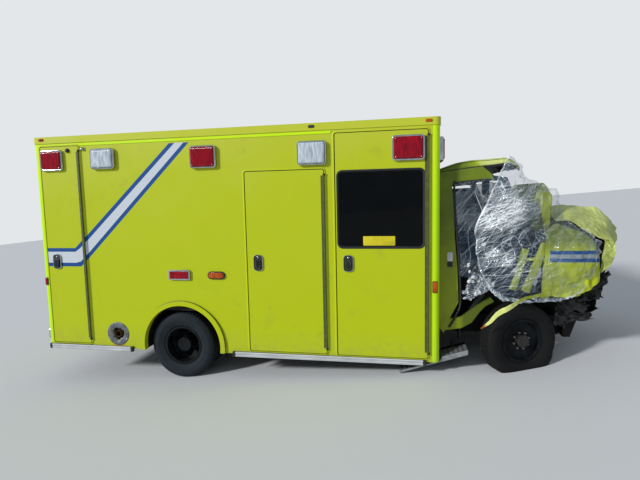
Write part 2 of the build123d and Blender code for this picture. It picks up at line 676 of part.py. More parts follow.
# Cab: rear hoop with both pillars, roof rails, sills and the two windscreen pillars
roof_rear_z = 2205
roof_bend = (-322, 2252)
hoop_line = [(-682, 575), (-607, 760), (-537, 900), (-552, 1250), (-587, 1700), (-607, 2080), (-242, 2110),
             (-212, 2160), (roof_bend[0], roof_bend[1] - seat_gap)]
hoop_rear = [(cab_rear, roof_rear_z - seat_gap), (cab_rear, 640)]
sill_line = [(-700, 600), (-508, 632), (-410, 690), (-372, 745), (-335, 800), (-278, 865), (-196, 912),
             (-232, 958), (-312, 905), (-392, 838), (-508, 750), (-640, 720)]
screen_line = [(-212, 2160), (-255, 2114), (-140, 2108), (62, 1622), (250, 1505), (264, 1550), (104, 1652),
               (-92, 2140)]
pillar = side_prism(ahead(hoop_line) + hoop_rear, -cab_half, -cab_half + cab_wall)
sill = side_prism(ahead(sill_line), -cab_half, -cab_half + cab_wall)
screen_pillar = side_prism(ahead(screen_line), -cab_half, -cab_half + 34)
side = fused(pillar, sill, screen_pillar)
back_sheet = block(cab_rear, cab_rear + 30, -cab_half + 1, cab_half - 1, 1000, 2190)
back_sheet = back_sheet - end_panel(-330, 330, floor_top + 40, 2010, cab_rear - 1, cab_rear + 31, 60)
header = block(wheelbase - 332, wheelbase - 222, -cab_half + 1, cab_half - 1, 2120, 2160)
level("cab_shell", fused(side, other_side(side), back_sheet, header))

# Cab roof: crowned across, torn off the windscreen and folded up at its front edge.
# Stations: x from the front axle, height of the edge, height of the crown over the edge, half width
roof_stations = [
    (-box_setback + seat_gap, roof_rear_z, 40, cab_half - 30),
    (roof_bend[0], roof_bend[1], 64, cab_half - 30),
    (-90, 2272, 40, cab_half - 34),
    (48, 2318, 16, cab_half - 60),
]
roof_thick = 28


def roof_section(x, edge, crown, half):
    """Crowned strip of the roof's thickness, square to the vehicle at x from the front axle."""
    x_here = wheelbase + x
    low = ThreePointArc((x_here, -half, edge), (x_here, 0, edge + crown), (x_here, half, edge))
    high = ThreePointArc((x_here, half, edge + roof_thick), (x_here, 0, edge + crown + roof_thick),
                         (x_here, -half, edge + roof_thick))
    sides = [Line(low @ 1, high @ 0), Line(high @ 1, low @ 0)]
    return make_face([low, sides[0], high, sides[1]])


level("cab_roof", loft([roof_section(*row) for row in roof_stations], ruled=True))

# Cab floor with the toe board and the engine cover
floor_half = cab_half - cab_wall - seat_gap
toe_top = 1240
cab_floor_line = ahead([(-472, 690), (-282, 960), (-282, toe_top), (-312, toe_top), (-312, 975), (-488, 730)])
cab_floor = side_prism([(cab_rear, 690), *cab_floor_line, (cab_rear, 730)], -floor_half, floor_half)
cover_gap = 60
cover_rear = wheelbase - 662
cover = block(cover_rear, block_rear - 10, -engine_half - cover_gap, engine_half + cover_gap, 690,
              engine_top + cover_gap + 10)
cover_hollow = block(cover_rear + 30, block_front, -engine_half - cover_gap + 30, engine_half + cover_gap - 30, 600,
                     engine_top + 40)
level("cab_floor", fused(cab_floor, cover) - cover_hollow)

# Dashboard with the steering wheel on the left
dash_line = ahead([(-307, toe_top + seat_gap), (8, toe_top), (48, 1420), (-72, 1500), (-212, 1480)])
dash = side_prism(dash_line, -cab_half + 125, cab_half - 125)
wheel_place = Pos(wheelbase - 402, 400, 1465) * Rot(0, -62, 0)
ring_tube = 13
ring_section = [(180 + ring_tube * cos(radians(a)), ring_tube * sin(radians(a))) for a in range(0, 360, 60)]
wheel_ring = wheel_place * revolve(make_face(Polyline([(r, 0, a) for r, a in ring_section], close=True)), axis=Axis.Z)
spokes = wheel_place * Box(30, 356, 12)
column = Pos(wheelbase - 322, 400, 1420) * Rot(0, -62, 0) * Cylinder(28, 260)
level("dashboard", fused(dash, column, wheel_ring, spokes))


# Two seats
def seat(y):
    """Seat with its base, cushion and back."""
    rear = cover_rear
    base = block(rear, rear + 140, y - 140, y + 140, 730 + seat_gap, 870)
    cushion = fillet(block(rear, rear + 230, y - 200, y + 200, 860, 990).edges().filter_by(Axis.Y), 40)
    back = side_prism([(rear - 10, 900), (rear + 90, 900), (rear + 60, 1560), (rear - 20, 1560)], y - 195, y + 195)
    return fused(base, cushion, back)


seat_row = 600
level("seats", pieces(seat(-seat_row), seat(seat_row)))

# Left cab door, hinged at its front edge on the cowl's post
cab_door_line = ahead([(-524, 1040), (-352, 960), (248, 960), (248, 1480), (48, 1600), (-132, 2076), (-590, 2062),
                       (-571, 1700)])
cab_window_line = ahead([(-517, 1480), (28, 1480), (-167, 2030), (-537, 2020)])
cab_door_thick = 38
cab_door = side_prism(cab_door_line, cab_half - cab_door_thick, cab_half)
cab_door = cab_door - side_prism(cab_window_line, cab_half - 60, cab_half + 60)
cab_hinge = (wheelbase + 258, cab_half - 2)
post_line = (wheelbase + 264, wheelbase + 327)
hinge_rows = [1010, 1360]
cab_barrel = 9
cab_pin = 5
barrel_height = 80
hinge_ears = []
for low in hinge_rows:
    high = low + barrel_height
    cab_door = fused(cab_door, upright(cab_barrel, *cab_hinge, low, high),
                     block(cab_hinge[0] - 40, cab_hinge[0], cab_half - 10, cab_half - 1, low, high))
    cab_door = cab_door - upright(cab_pin + bearing_gap, *cab_hinge, low - 1, high + 1)
    hinge_ears.append(upright(cab_pin, *cab_hinge, low - 4, high + 4))
    for z_ear in (low - ear_gap - ear_height, high + ear_gap):
        hinge_ears.append(upright(cab_barrel, *cab_hinge, z_ear, z_ear + ear_height))
        hinge_ears.append(block(cab_hinge[0], post_line[0] + 24, cab_half - 40, cab_half + 4, z_ear,
                                z_ear + ear_height))
level("cab_door_left", cab_door)

# Running boards, torn down at their rear ends, and mud flaps
board_line = [(wheelbase - 457, 448), (wheelbase - 457, 400), (box_front - 393, 180), (box_front - 393, 204),
              (box_front - 10, 318), (box_front + 6, 322), (box_front + 30, 372)]
board = side_prism(board_line, -half_width + 55, -cab_half + 125)
hanger = block(wheelbase - 612, wheelbase - 572, -cab_half + 85, -cab_half + 105, 400, 690 - seat_gap)
level("running_boards", both_sides(fused(board, hanger)))
flap_x = wheelbase - 522
flap_top = 690 - seat_gap
flap = block(flap_x, flap_x + 8, -cab_half + cab_wall, -cab_half + 225, 470, flap_top)
level("mud_flaps", both_sides(flap))

# Crushed front: the rear half of the hood stands upright over the cowl, with the door posts at its sides
cowl_half = cab_half - 185
post_inner = cab_half - 100
post_outer = cab_half - 36
cowl_top = 1560
post_top = 1535
cowl_line = ahead([(278, 1250), (327, 1250), (388, cowl_top), (318, cowl_top)])
cowl_plate = side_prism(cowl_line, -cowl_half, cowl_half)
# Upright panel: height, rear face and front face from the front axle, half width
upright_rows = [
    (cowl_top - 4, 320, 387, cowl_half - 40),
    (1720, 303, 378, cowl_half - 30),
    (1890, 283, 386, cowl_half - 30),
    (2030, 298, 353, cowl_half - 70),
    (2080, 315, 335, cowl_half - 170),
]
panel_sections = [Pos(wheelbase + (rear + front) / 2, 0, z) * Rectangle(front - rear, 2 * half)
                  for z, rear, front, half in upright_rows]
upright_panel = loft(panel_sections, ruled=True)
door_post = block(*post_line, -post_outer, -post_inner, 940, post_top)
cowl_tie = block(post_line[0] + 16, post_line[1], -post_inner - 1, -cowl_half + 10, 1260, 1400)
dash_shelf = block(wheelbase + 48 + seat_gap, wheelbase + 340, -cowl_half, cowl_half, 1398, 1426)
# Bent door pillars behind the film on the right: bottom rear edge, top rear edge, width, bottom, top
bent_rows = [(-39, 73, 56, 1033, 1432), (72, 230, 66, 1015, 1500)]
bent = [side_prism(ahead([(low, z0), (low + wide, z0), (high + wide, z1), (high, z1)]), -post_outer, -post_outer + 36)
        for low, high, wide, z0, z1 in bent_rows]
bent_tie = block(wheelbase + 50, post_line[0] + 1, -post_outer, -post_outer + 30, 1310, 1350)
cowl = fused(cowl_plate, dash_shelf, upright_panel, door_post, other_side(door_post), cowl_tie,
             other_side(cowl_tie), *bent, bent_tie, *hinge_ears)
level("folded_cowl", cowl)

# Hood: the front half, thrown up in a ridge and folded down at its front edge.
# Stations: x from the front axle, near edge, near crest, far crest and far edge as (y, z)
hood_thick = 22
hood_stations = [
    (430, (-790, 1700), (-450, 1742), (300, 1742), (760, 1700)),
    (610, (-925, 1632), (-450, 1806), (300, 1800), (800, 1640)),
    (778, (-930, 1546), (-450, 1825), (300, 1818), (820, 1580)),
    (940, (-915, 1470), (-450, 1800), (320, 1780), (820, 1530)),
    (1060, (-800, 1400), (-400, 1690), (300, 1680), (700, 1440)),
    (1170, (-500, 1480), (-330, 1610), (200, 1580), (420, 1450)),
]
hood_rings = []
for x, *line in hood_stations:
    under = [(y, z - hood_thick) for y, z in reversed(line)]
    hood_rings.append((wheelbase + x, [*line, *under]))
hood = draped(hood_rings)
# Curled strip of the front edge that hangs down at the near corner
curl_line = ahead([(800, 1532), (905, 1486), (888, 1320), (848, 1232), (792, 1205), (806, 1300), (814, 1420)])
curl = side_prism(curl_line, -925, -905)
level("hood", fused(hood, curl))


# Fenders: outer panel with its flange turned inboard over the wheel, pushed in at the front.
# Stations: x from the front axle, outer face, bottom, top, inner edge of the flange
fender_thick = 24
fender_stations = [
    (296, 0, 1005, 1570, 120),
    (448, 0, 985, 1640, 150),
    (630, 0, 1035, 1590, 150),
    (735, 20, 1150, 1500, 120),
    (782, 88, 1200, 1440, 130),
]


def fender_ring(pushed, bottom, top, flange):
    """Section of a right hand fender as (y, z) points: the outer panel and its flange."""
    out = -cab_half + pushed
    return [(out, bottom), (out, top), (-cab_half + flange, top + 12), (-cab_half + flange, top + 12 - fender_thick),
            (out + fender_thick, top - fender_thick), (out + fender_thick, bottom)]


fender = draped([(wheelbase + x, fender_ring(*row)) for x, *row in fender_stations])
lug_top = 1380
fender_lug = block(post_line[1] + seat_gap, post_line[1] + 66, -cab_half + fender_thick - 1, -post_inner,
                   lug_top - 90, lug_top)
fender = fused(fender, fender_lug)
level("fender_left", other_side(fender))

# Torn lip of the right wheel arch: it hangs outside the wheel's sweep, below the film
strip_out = -half_width - 92
strip_thick = 6
strip_line = ahead([(-362, 739), (-283, 827), (-222, 895), (-134, 940), (-12, 955), (-12, 912), (-90, 905),
                    (-126, 856), (-196, 807), (-292, 729), (-353, 690)])
strip = side_prism(strip_line, strip_out, strip_out + strip_thick)
bridge_rows = [(-13, strip_out), (300, -cab_half)]
bridge = draped([(wheelbase + x, [(y, 914), (y, 952), (y + strip_thick, 952), (y + strip_thick, 914)])
                 for x, y in bridge_rows])
bridge_tab = block(wheelbase + 297, wheelbase + 345, -cab_half, -cab_half + strip_thick, 914, 1040)
level("fender_right", fused(fender, strip, bridge, bridge_tab))

# Radiator support, pushed back and tilted: posts, bars and the core
core_low = 560
core_high = 1250
lean_line = [(rail_front + seat_gap, core_low - 100), (rail_front + 70, core_low - 100), (rail_front + 330, core_high),
             (rail_front + 250, core_high), (rail_front + seat_gap, core_low + 80)]
support_half = 600
side_post = side_prism(lean_line, -support_half, -support_half + 70)
lower_bar = block(rail_front + seat_gap, rail_front + 66, -support_half + 1, support_half - 1, core_low - 99,
                  core_low - 10)
bar_x = rail_front + 180
bar_half = cab_half - 130
upper_bar = block(bar_x, bar_x + 60, -bar_half, bar_half, core_high - 60, core_high + 10)
top_bar = block(bar_x + 20, bar_x + 120, -support_half + 1, support_half - 1, core_high - 80, core_high)
core_line = [(rail_front + 40, core_low - 30), (rail_front + 85, core_low - 30), (rail_front + 300, core_high - 40),
             (rail_front + 250, core_high - 40)]
core = side_prism(core_line, -support_half + 69, support_half - 69)
hood_post_x = wheelbase + 778
hood_post_top = 1820 - hood_thick - seat_gap
hood_post = block(hood_post_x - 10, hood_post_x + 10, -200, -120, core_high - 20, hood_post_top)
post_foot = block(bar_x + 20, hood_post_x + 10, -200, -120, core_high - 20, core_high + 20)
level("radiator_support", fused(side_post, other_side(side_post), lower_bar, upper_bar, top_bar, core, hood_post,
                                post_foot))

# Clear film round the right of the cab: a bulging skin from the roof to the wheel arch.
# Stations: x from the front axle, outer face at bottom, belly and top, and the three heights
film_thick = 6
film_face = -cab_half - seat_gap - film_thick
film_stations = [
    (-495, 2, 30, 2, 1000, 1040, 1085),
    (-382, 5, 45, 5, 1090, 1400, 1690),
    (-262, 40, 95, 20, 1090, 1600, 1970),
    (-92, 70, 130, 0, 962, 1500, 2250),
    (140, 45, 110, 0, 962, 1450, 2060),
    (400, 6, 60, 0, 962, 1400, 1830),
    (628, 0, 10, 0, 1060, 1350, 1560),
    (740, -16, 4, -16, 1250, 1330, 1430),
]
film_rings = []
for x, *rows in film_stations:
    line = [(film_face - out, z) for out, z in zip(rows[:3], rows[3:])]
    film_rings.append((wheelbase + x, [*line, *[(y + film_thick, z) for y, z in reversed(line)]]))
level("plastic_film", draped(film_rings))

# Hinge lines, as level body points that the pins stand on
hinges = {name: (*hinge_axis(x1), 1200) for name, x0, x1, z0, z1 in right_doors}
hinges.update({name: (hinge_axis(x1)[0], -hinge_axis(x1)[1], 1200) for name, x0, x1, z0, z1 in left_doors})
hinges["rear_door_right"] = (hinge_x, hinge_y, 1200)
hinges["rear_door_left"] = (hinge_x, -hinge_y, 1200)
hinges["cab_door_left"] = (*cab_hinge, 1200)

# The row's origin is the middle of the floor rectangle that the vehicle covers
extent = Compound([solid for shape in nodes.values() for solid in shape.solids()]).bounding_box()
origin_x = (extent.min.X + extent.max.X) / 2
origin_y = (extent.min.Y + extent.max.Y) / 2
home = Pos(-origin_x, -origin_y, 0)

os.makedirs("parts", exist_ok=True)
for name, shape in nodes.items():
    export_step(home * shape, os.path.join("parts", name + ".step"))
print("nodes", len(nodes), "origin", round(origin_x, 3), round(origin_y, 3), "extent", extent.min, extent.max)
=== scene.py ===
import math

import bmesh
import bpy
import numpy as np
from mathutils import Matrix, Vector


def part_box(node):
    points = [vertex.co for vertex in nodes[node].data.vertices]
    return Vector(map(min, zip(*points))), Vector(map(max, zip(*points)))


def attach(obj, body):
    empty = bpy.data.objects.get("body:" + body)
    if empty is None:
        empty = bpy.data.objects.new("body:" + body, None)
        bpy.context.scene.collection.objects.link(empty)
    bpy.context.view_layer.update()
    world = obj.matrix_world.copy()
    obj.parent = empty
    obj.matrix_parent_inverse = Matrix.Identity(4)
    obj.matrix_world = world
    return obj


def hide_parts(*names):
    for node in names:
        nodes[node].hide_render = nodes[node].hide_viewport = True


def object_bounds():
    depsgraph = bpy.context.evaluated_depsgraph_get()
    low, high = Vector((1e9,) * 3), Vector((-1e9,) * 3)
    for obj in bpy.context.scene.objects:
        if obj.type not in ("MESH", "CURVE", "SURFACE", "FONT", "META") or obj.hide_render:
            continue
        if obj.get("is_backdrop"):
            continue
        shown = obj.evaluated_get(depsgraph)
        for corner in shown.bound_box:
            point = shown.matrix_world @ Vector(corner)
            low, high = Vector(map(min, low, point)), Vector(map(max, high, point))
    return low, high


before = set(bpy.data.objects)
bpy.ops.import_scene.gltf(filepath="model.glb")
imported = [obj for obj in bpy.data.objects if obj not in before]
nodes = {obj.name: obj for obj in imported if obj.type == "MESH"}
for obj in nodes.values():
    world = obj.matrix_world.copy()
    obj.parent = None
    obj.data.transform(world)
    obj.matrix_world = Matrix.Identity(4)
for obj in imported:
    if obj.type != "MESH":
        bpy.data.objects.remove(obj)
cad_low, cad_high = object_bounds()

# The level body
# The box and the chassis are built level, and the whole body stands nose down on its flat front tyres.
# A point of the level body is x forward from the rear axle, y left and z up from the rear tyres' floor.
tyre_low, tyre_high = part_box("rear_tyres_right")
axle_x = (tyre_low.x + tyre_high.x) / 2
tyre_radius = tyre_high.z / 2
middle_y = -(tyre_low.y + 1.1375)
nose_down = math.radians(4.1)
wheelbase = 3.512
front_hub_level = 0.527
half_width = 1.170
box_rear = -1.677
box_front = 2.778
cab_half = 0.985
arch_x, arch_z = 0.030, 0.388
outlet_x, outlet_z = -0.758, 0.494


def to_row(points):
    """Level body points in the row frame: turned by nose_down about the rear axle, then moved to place."""
    x, y, z = points[..., 0], points[..., 1], points[..., 2] - tyre_radius
    c, s = math.cos(nose_down), math.sin(nose_down)
    return np.stack([x * c + z * s + axle_x, y - middle_y, z * c - x * s + tyre_radius], -1)


# Camera and studio
# A 25 mm lens stands 1.8 m over the floor, five and a half metres from the right hand side.
# One broad lamp shines from the upper left behind the camera, and a pale sky fills the rest.
scene = bpy.context.scene
scene.view_settings.view_transform = "Standard"
camera = bpy.data.objects.new("camera", bpy.data.cameras.new("camera"))
camera.data.sensor_width = 36
camera.data.lens = 25.018
camera.location = (2.550115 + axle_x, -5.58633 - middle_y, 1.80413)
camera.rotation_euler = [math.radians(a) for a in (85.3195, 5.2588, 10.7437)]
scene.collection.objects.link(camera)
scene.camera = camera
lamp = bpy.data.objects.new("key_lamp", bpy.data.lights.new("key_lamp", "SUN"))
lamp.data.energy = 3.1
lamp.data.angle = math.radians(7)
lamp.rotation_euler = (math.radians(63), 0, math.radians(-49))
scene.collection.objects.link(lamp)


def linear(code):
    """Linear RGBA of an sRGB hex colour."""
    parts = [int(code[i:i + 2], 16) / 255 for i in (1, 3, 5)]
    return (*[v / 12.92 if v <= 0.04045 else ((v + 0.055) / 1.055) ** 2.4 for v in parts], 1)


def add(tree, kind, inputs=None, **settings):
    """Add a shader node, with its settings and with its inputs as values or as links."""
    made = tree.nodes.new(kind)
    for name, value in settings.items():
        setattr(made, name, value)
    for name, value in (inputs or {}).items():
        if isinstance(value, bpy.types.NodeSocket):
            tree.links.new(value, made.inputs[name])
        else:
            made.inputs[name].default_value = value
    return made


world = bpy.data.worlds.new("pale_sky")
world.use_nodes = True
sky = world.node_tree
sky.nodes.clear()
path = add(sky, "ShaderNodeLightPath")
seen = add(sky, "ShaderNodeMath", {0: path.outputs["Is Camera Ray"], 1: path.outputs["Is Transmission Ray"]},
           operation="MAXIMUM")
fill = add(sky, "ShaderNodeBackground", {"Color": linear("#DCE4EE"), "Strength": 0.55})
plain = add(sky, "ShaderNodeBackground", {"Color": linear("#E4E7EA"), "Strength": 1.0})
both = add(sky, "ShaderNodeMixShader", {0: seen.outputs[0], 1: fill.outputs[0], 2: plain.outputs[0]})
add(sky, "ShaderNodeOutputWorld", {"Surface": both.outputs[0]})
scene.world = world

floor_mesh = bpy.data.meshes.new("floor")
floor_mesh.from_pydata([(-60, -60, 0), (60, -60, 0), (60, 60, 0), (-60, 60, 0)], [], [(0, 1, 2, 3)])
floor = bpy.data.objects.new("floor", floor_mesh)
scene.collection.objects.link(floor)
floor_paint = bpy.data.materials.new("pale_floor_paint")
floor_paint.use_nodes = True
floor_paint.node_tree.nodes["Principled BSDF"].inputs["Base Color"].default_value = linear("#C9CBCD")
floor_paint.node_tree.nodes["Principled BSDF"].inputs["Roughness"].default_value = 0.9
floor_mesh.materials.append(floor_paint)
floor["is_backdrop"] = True


# Materials
# Each material is one principled surface, named for what the real one is and how it was made.
# Its colour, roughness and bump come from patterns whose sizes are real millimetres.
def start(name, **constants):
    """A material with one principled surface; constants are its unlinked sockets."""
    made = bpy.data.materials.new(name)
    made.use_nodes = True
    tree = made.node_tree
    tree.nodes.clear()
    surface = add(tree, "ShaderNodeBsdfPrincipled")
    for socket, value in constants.items():
        surface.inputs[socket.replace("_", " ")].default_value = value
    add(tree, "ShaderNodeOutputMaterial", {"Surface": surface.outputs[0]})
    return made, tree, surface


def at_object(tree):
    """Object coordinates in metres."""
    return add(tree, "ShaderNodeTexCoord").outputs["Object"]


def at_level(tree):
    """Coordinates of the level body in metres, from the object's own."""
    place = add(tree, "ShaderNodeTexCoord").outputs["Object"]
    c, s = math.cos(nose_down), math.sin(nose_down)
    shift = (-axle_x * c + tyre_radius * s, middle_y, -axle_x * s - tyre_radius * c + tyre_radius)
    return add(tree, "ShaderNodeMapping", {"Vector": place, "Rotation": (0, -nose_down, 0),
                                           "Location": shift}).outputs[0]


def noise(tree, place, size_mm, detail=3, roughness=0.5):
    """Noise from 0 to 1 whose blotches measure size_mm."""
    return add(tree, "ShaderNodeTexNoise", {"Vector": place, "Scale": 1000 / size_mm, "Detail": detail,
                                            "Roughness": roughness}).outputs["Fac"]


def ramp(tree, value, low, high, start_at=0.0, end_at=1.0):
    """The value's range from low to high, spread over start_at to end_at and held there."""
    return add(tree, "ShaderNodeMapRange", {"Value": value, "From Min": low, "From Max": high,
                                            "To Min": start_at, "To Max": end_at}).outputs[0]


def sums(tree, kind, first, second=0.0, third=0.0):
    """One arithmetic step."""
    return add(tree, "ShaderNodeMath", {0: first, 1: second, 2: third}, operation=kind).outputs[0]


def blend(tree, share, first, second):
    """Mix of two colours by share."""
    mixed = add(tree, "ShaderNodeMix", {"Factor": share}, data_type="RGBA")
    for socket, value in ((mixed.inputs[6], first), (mixed.inputs[7], second)):
        if isinstance(value, str):
            socket.default_value = linear(value)
        else:
            tree.links.new(value, socket)
    return mixed.outputs[2]


def comb(tree, value, pitch):
    """How far a value lies from the middle of its pitch, in pitches: 0 at the middle, 0.5 at the ends."""
    share = sums(tree, "FRACT", sums(tree, "MULTIPLY", value, 1 / pitch))
    return sums(tree, "ABSOLUTE", sums(tree, "SUBTRACT", share, 0.5))


def painted(made):
    """A finished material's tree, its base colour socket and what feeds it, for a pattern to go over it."""
    socket = made.node_tree.nodes["Principled BSDF"].inputs["Base Color"]
    return made.node_tree, socket, socket.links[0].from_socket


def relief(tree, surface, *layers):
    """Bump from layers of (height, depth in millimetres, strength)."""
    normal = None
    for height, depth_mm, strength in layers:
        inputs = {"Height": height, "Distance": depth_mm / 1000, "Strength": strength}
        if normal is not None:
            inputs["Normal"] = normal
        normal = add(tree, "ShaderNodeBump", inputs).outputs[0]
    tree.links.new(normal, surface.inputs["Normal"])


def give(name, finish):
    """Dress a CAD node in one material."""
    nodes[name].data.materials.clear()
    nodes[name].data.materials.append(finish)


def fleet_paint(name, sheen_near_top, body, low, striped=False):
    """Polyurethane fleet paint: three hexes from the top of the wall down, chalky blotches, orange peel of
    3 mm and road film along the skirt. The box sides also get the reflective stripe and the rust run under
    the exhaust outlet, and the faces inside the walls, the ends and the roof are bare grey."""
    made, tree, surface = start(name, Coat_Weight=0.08, Coat_Roughness=0.15, Specular_IOR_Level=0.22)
    place = at_level(tree)
    split = add(tree, "ShaderNodeSeparateXYZ", {"Vector": place})
    x, y, z = split.outputs
    blotch = noise(tree, place, 900, 4)
    height = sums(tree, "MULTIPLY_ADD", ramp(tree, blotch, 0.3, 0.7, -0.25, 0.25), 1.0, z)
    colour = blend(tree, ramp(tree, height, 1.0, 2.5), low, body)
    colour = blend(tree, ramp(tree, height, 2.05, 2.7, 0, 0.85), colour, sheen_near_top)
    smudge = sums(tree, "MULTIPLY", ramp(tree, noise(tree, place, 160, 6, 0.65), 0.56, 0.75),
                  ramp(tree, noise(tree, place, 1200), 0.5, 0.62, 0, 0.35))
    colour = blend(tree, smudge, colour, "#8F9430")
    grime = sums(tree, "MULTIPLY", ramp(tree, z, 0.62, 0.30),
                 ramp(tree, noise(tree, place, 70, 5, 0.7), 0.35, 0.75, 0, 0.55))
    colour = blend(tree, grime, colour, "#8A8756")
    rough = ramp(tree, noise(tree, place, 300, 4), 0.3, 0.7, 0.30, 0.44)
    if striped:
        colour, rough = stripe(tree, place, x, y, z, colour, rough)
        reach = sums(tree, "ABSOLUTE", sums(tree, "SUBTRACT", x, outlet_x))
        under = sums(tree, "MULTIPLY", ramp(tree, reach, 0.10, 0.01), ramp(tree, z, 0.42, 0.36))
        rust = sums(tree, "MULTIPLY", under, ramp(tree, noise(tree, place, 25, 5, 0.7), 0.3, 0.6))
        colour = blend(tree, sums(tree, "MULTIPLY", rust, ramp(tree, y, -1.0, -1.1)), colour, "#B4641E")
    wall_face, end_skin, roof_face = 1.128, 0.044, 2.688
    inside = sums(tree, "MULTIPLY", ramp(tree, sums(tree, "ABSOLUTE", y), wall_face, wall_face - 0.008),
                  sums(tree, "MULTIPLY", ramp(tree, x, box_rear + end_skin, box_rear + end_skin + 0.005),
                       ramp(tree, x, box_front - end_skin, box_front - end_skin - 0.005)))
    inside = sums(tree, "MULTIPLY", inside, ramp(tree, z, roof_face, roof_face - 0.004))
    colour = blend(tree, inside, colour, "#B9BCBA")
    tree.links.new(colour, surface.inputs["Base Color"])
    tree.links.new(rough, surface.inputs["Roughness"])
    relief(tree, surface, (noise(tree, place, 3, 1), 0.05, 0.35), (noise(tree, place, 420, 2), 1.2, 0.5))
    return made


# Reflective stripe
# Self-adhesive reflective sheeting on both sides: a white band between two blue lines, level along the rear
# and then rising to the roof. Its faded prisms give a grain of 9 mm.
band_low = 1.263
band_high = 1.473
bend_low = -1.164
bend_high = -1.226
slope_low = 0.965
slope_high = 0.9236
blue_width = 0.042
band_start = -1.592
band_roof = 2.592


def stripe(tree, place, x, y, z, colour, rough):
    """The band's lower and upper edges as heights over x; blue within blue_width of either, white between."""
    lower = sums(tree, "MAXIMUM", band_low,
                 sums(tree, "MULTIPLY_ADD", sums(tree, "SUBTRACT", x, bend_low), slope_low, band_low))
    upper = sums(tree, "MAXIMUM", band_high,
                 sums(tree, "MULTIPLY_ADD", sums(tree, "SUBTRACT", x, bend_high), slope_high, band_high))
    wide = ramp(tree, x, bend_high, bend_low, blue_width, blue_width * 1.4)
    over = sums(tree, "SUBTRACT", z, lower)
    under = sums(tree, "SUBTRACT", upper, z)
    edge = 0.0012
    inside = sums(tree, "MULTIPLY", ramp(tree, over, -edge, edge), ramp(tree, under, -edge, edge))
    for value, low, high in ((x, band_start - edge, band_start + edge),
                             (z, band_roof + edge, band_roof - edge),
                             (sums(tree, "ABSOLUTE", y), half_width - 0.004, half_width - 0.002)):
        inside = sums(tree, "MULTIPLY", inside, ramp(tree, value, low, high))
    white = sums(tree, "MULTIPLY", ramp(tree, sums(tree, "SUBTRACT", over, wide), -edge, edge),
                 ramp(tree, sums(tree, "SUBTRACT", under, wide), -edge, edge))
    grain = ramp(tree, noise(tree, place, 9, 2), 0.35, 0.65)
    pale = blend(tree, grain, "#B4BCC4", "#CBD1D6")
    deep = blend(tree, grain, "#003F7E", "#00488C")
    tape = blend(tree, white, deep, pale)
    return blend(tree, inside, colour, tape), sums(tree, "MULTIPLY_ADD", inside, 0.12, rough)


lime = fleet_paint("lime_fleet_paint", "#B5BD34", "#AFBB18", "#ADBA0A", striped=True)
for name in ("box_side_right", "box_side_left", "entry_door", "right_middle_compartment_door",
             "right_rear_compartment_door", "left_rear_compartment_door", "left_middle_compartment_door",
             "left_front_compartment_door"):
    give(name, lime)
plain_lime = fleet_paint("plain_lime_fleet_paint", "#B5BD34", "#AFBB18", "#ADBA0A")
for name in ("box_rear_frame", "box_front_wall", "rear_door_right", "rear_door_left", "wheel_arch_flares"):
    give(name, plain_lime)
post_paint = fleet_paint("bright_post_paint", "#C6E60C", "#B9E60A", "#B6E208")
give("corner_posts", post_paint)
roof_paint = fleet_paint("sun_faded_roof_paint", "#B8BF34", "#B9C22E", "#B9C22E")
give("box_roof", roof_paint)


def plain_finish(name, first, second, size_mm, rough, bump_mm, metal=0.0, fine_mm=2.0, **constants):
    """Two colours in blotches of size_mm, a roughness range and a fine relief."""
    made, tree, surface = start(name, Metallic=metal, **constants)
    place = at_object(tree)
    tree.links.new(blend(tree, ramp(tree, noise(tree, place, size_mm, 5, 0.6), 0.35, 0.65), first, second),
                   surface.inputs["Base Color"])
    tree.links.new(ramp(tree, noise(tree, place, size_mm / 2, 3), 0.3, 0.7, *rough),
                   surface.inputs["Roughness"])
    relief(tree, surface, (noise(tree, place, fine_mm, 2), bump_mm, 0.5))
    return made


chassis_black = plain_finish("dusty_chassis_paint", "#0F1011", "#24221F", 120, (0.6, 0.85), 0.3,
                             Specular_IOR_Level=0.3)
rusty = plain_finish("rusted_steel", "#3A2A20", "#6B4226", 60, (0.7, 0.95), 0.6)
rubber = plain_finish("black_rubber", "#0E0F10", "#191A1B", 40, (0.5, 0.7), 0.15)
moulded = plain_finish("moulded_black_plastic", "#141617", "#202224", 90, (0.4, 0.6), 0.1)
chrome = plain_finish("chromed_zinc", "#C9CDD1", "#AEB3B8", 80, (0.08, 0.22), 0.02, metal=1.0)
aluminium = plain_finish("mill_aluminium", "#C4C6C8", "#A9ABAE", 150, (0.28, 0.42), 0.03, metal=0.85)
wheel_paint = plain_finish("worn_wheel_paint", "#06080A", "#1A1F22", 45, (0.45, 0.75), 0.25,
                           Specular_IOR_Level=0.12)
axle_iron = plain_finish("oily_axle_iron", "#050505", "#1A120C", 45, (0.6, 0.85), 0.4,
                         Specular_IOR_Level=0.08)
engine_iron = plain_finish("oily_cast_iron", "#17130F", "#2E241C", 70, (0.45, 0.75), 0.4)
tinted = plain_finish("tinted_glass", "#020405", "#05080A", 300, (0.02, 0.05), 0.01, Specular_IOR_Level=0.12)
plain_rows = [
    (axle_iron, "rear_axle"), (rusty, "rear_springs exhaust_pipe"), (engine_iron, "engine"),
    (chassis_black, "frame_rails fuel_tank box_floor front_axle_beam front_knuckle_right front_knuckle_left"),
    (moulded, "mud_flaps dashboard cab_floor seats"), (aluminium, "rub_rails running_boards rear_bumper"),
    (wheel_paint, "rear_rims_right rear_rims_left front_rim_right front_rim_left"),
    (tinted, "entry_door_glass rear_door_right_glass rear_door_left_glass"),
    (rubber, "rear_tyres_right rear_tyres_left front_tyre_right front_tyre_left"),
    (plain_lime, "cab_shell cab_roof cab_door_left hood folded_cowl fender_right fender_left"),
]
for finish, names in plain_rows:
    for name in names.split():
        give(name, finish)

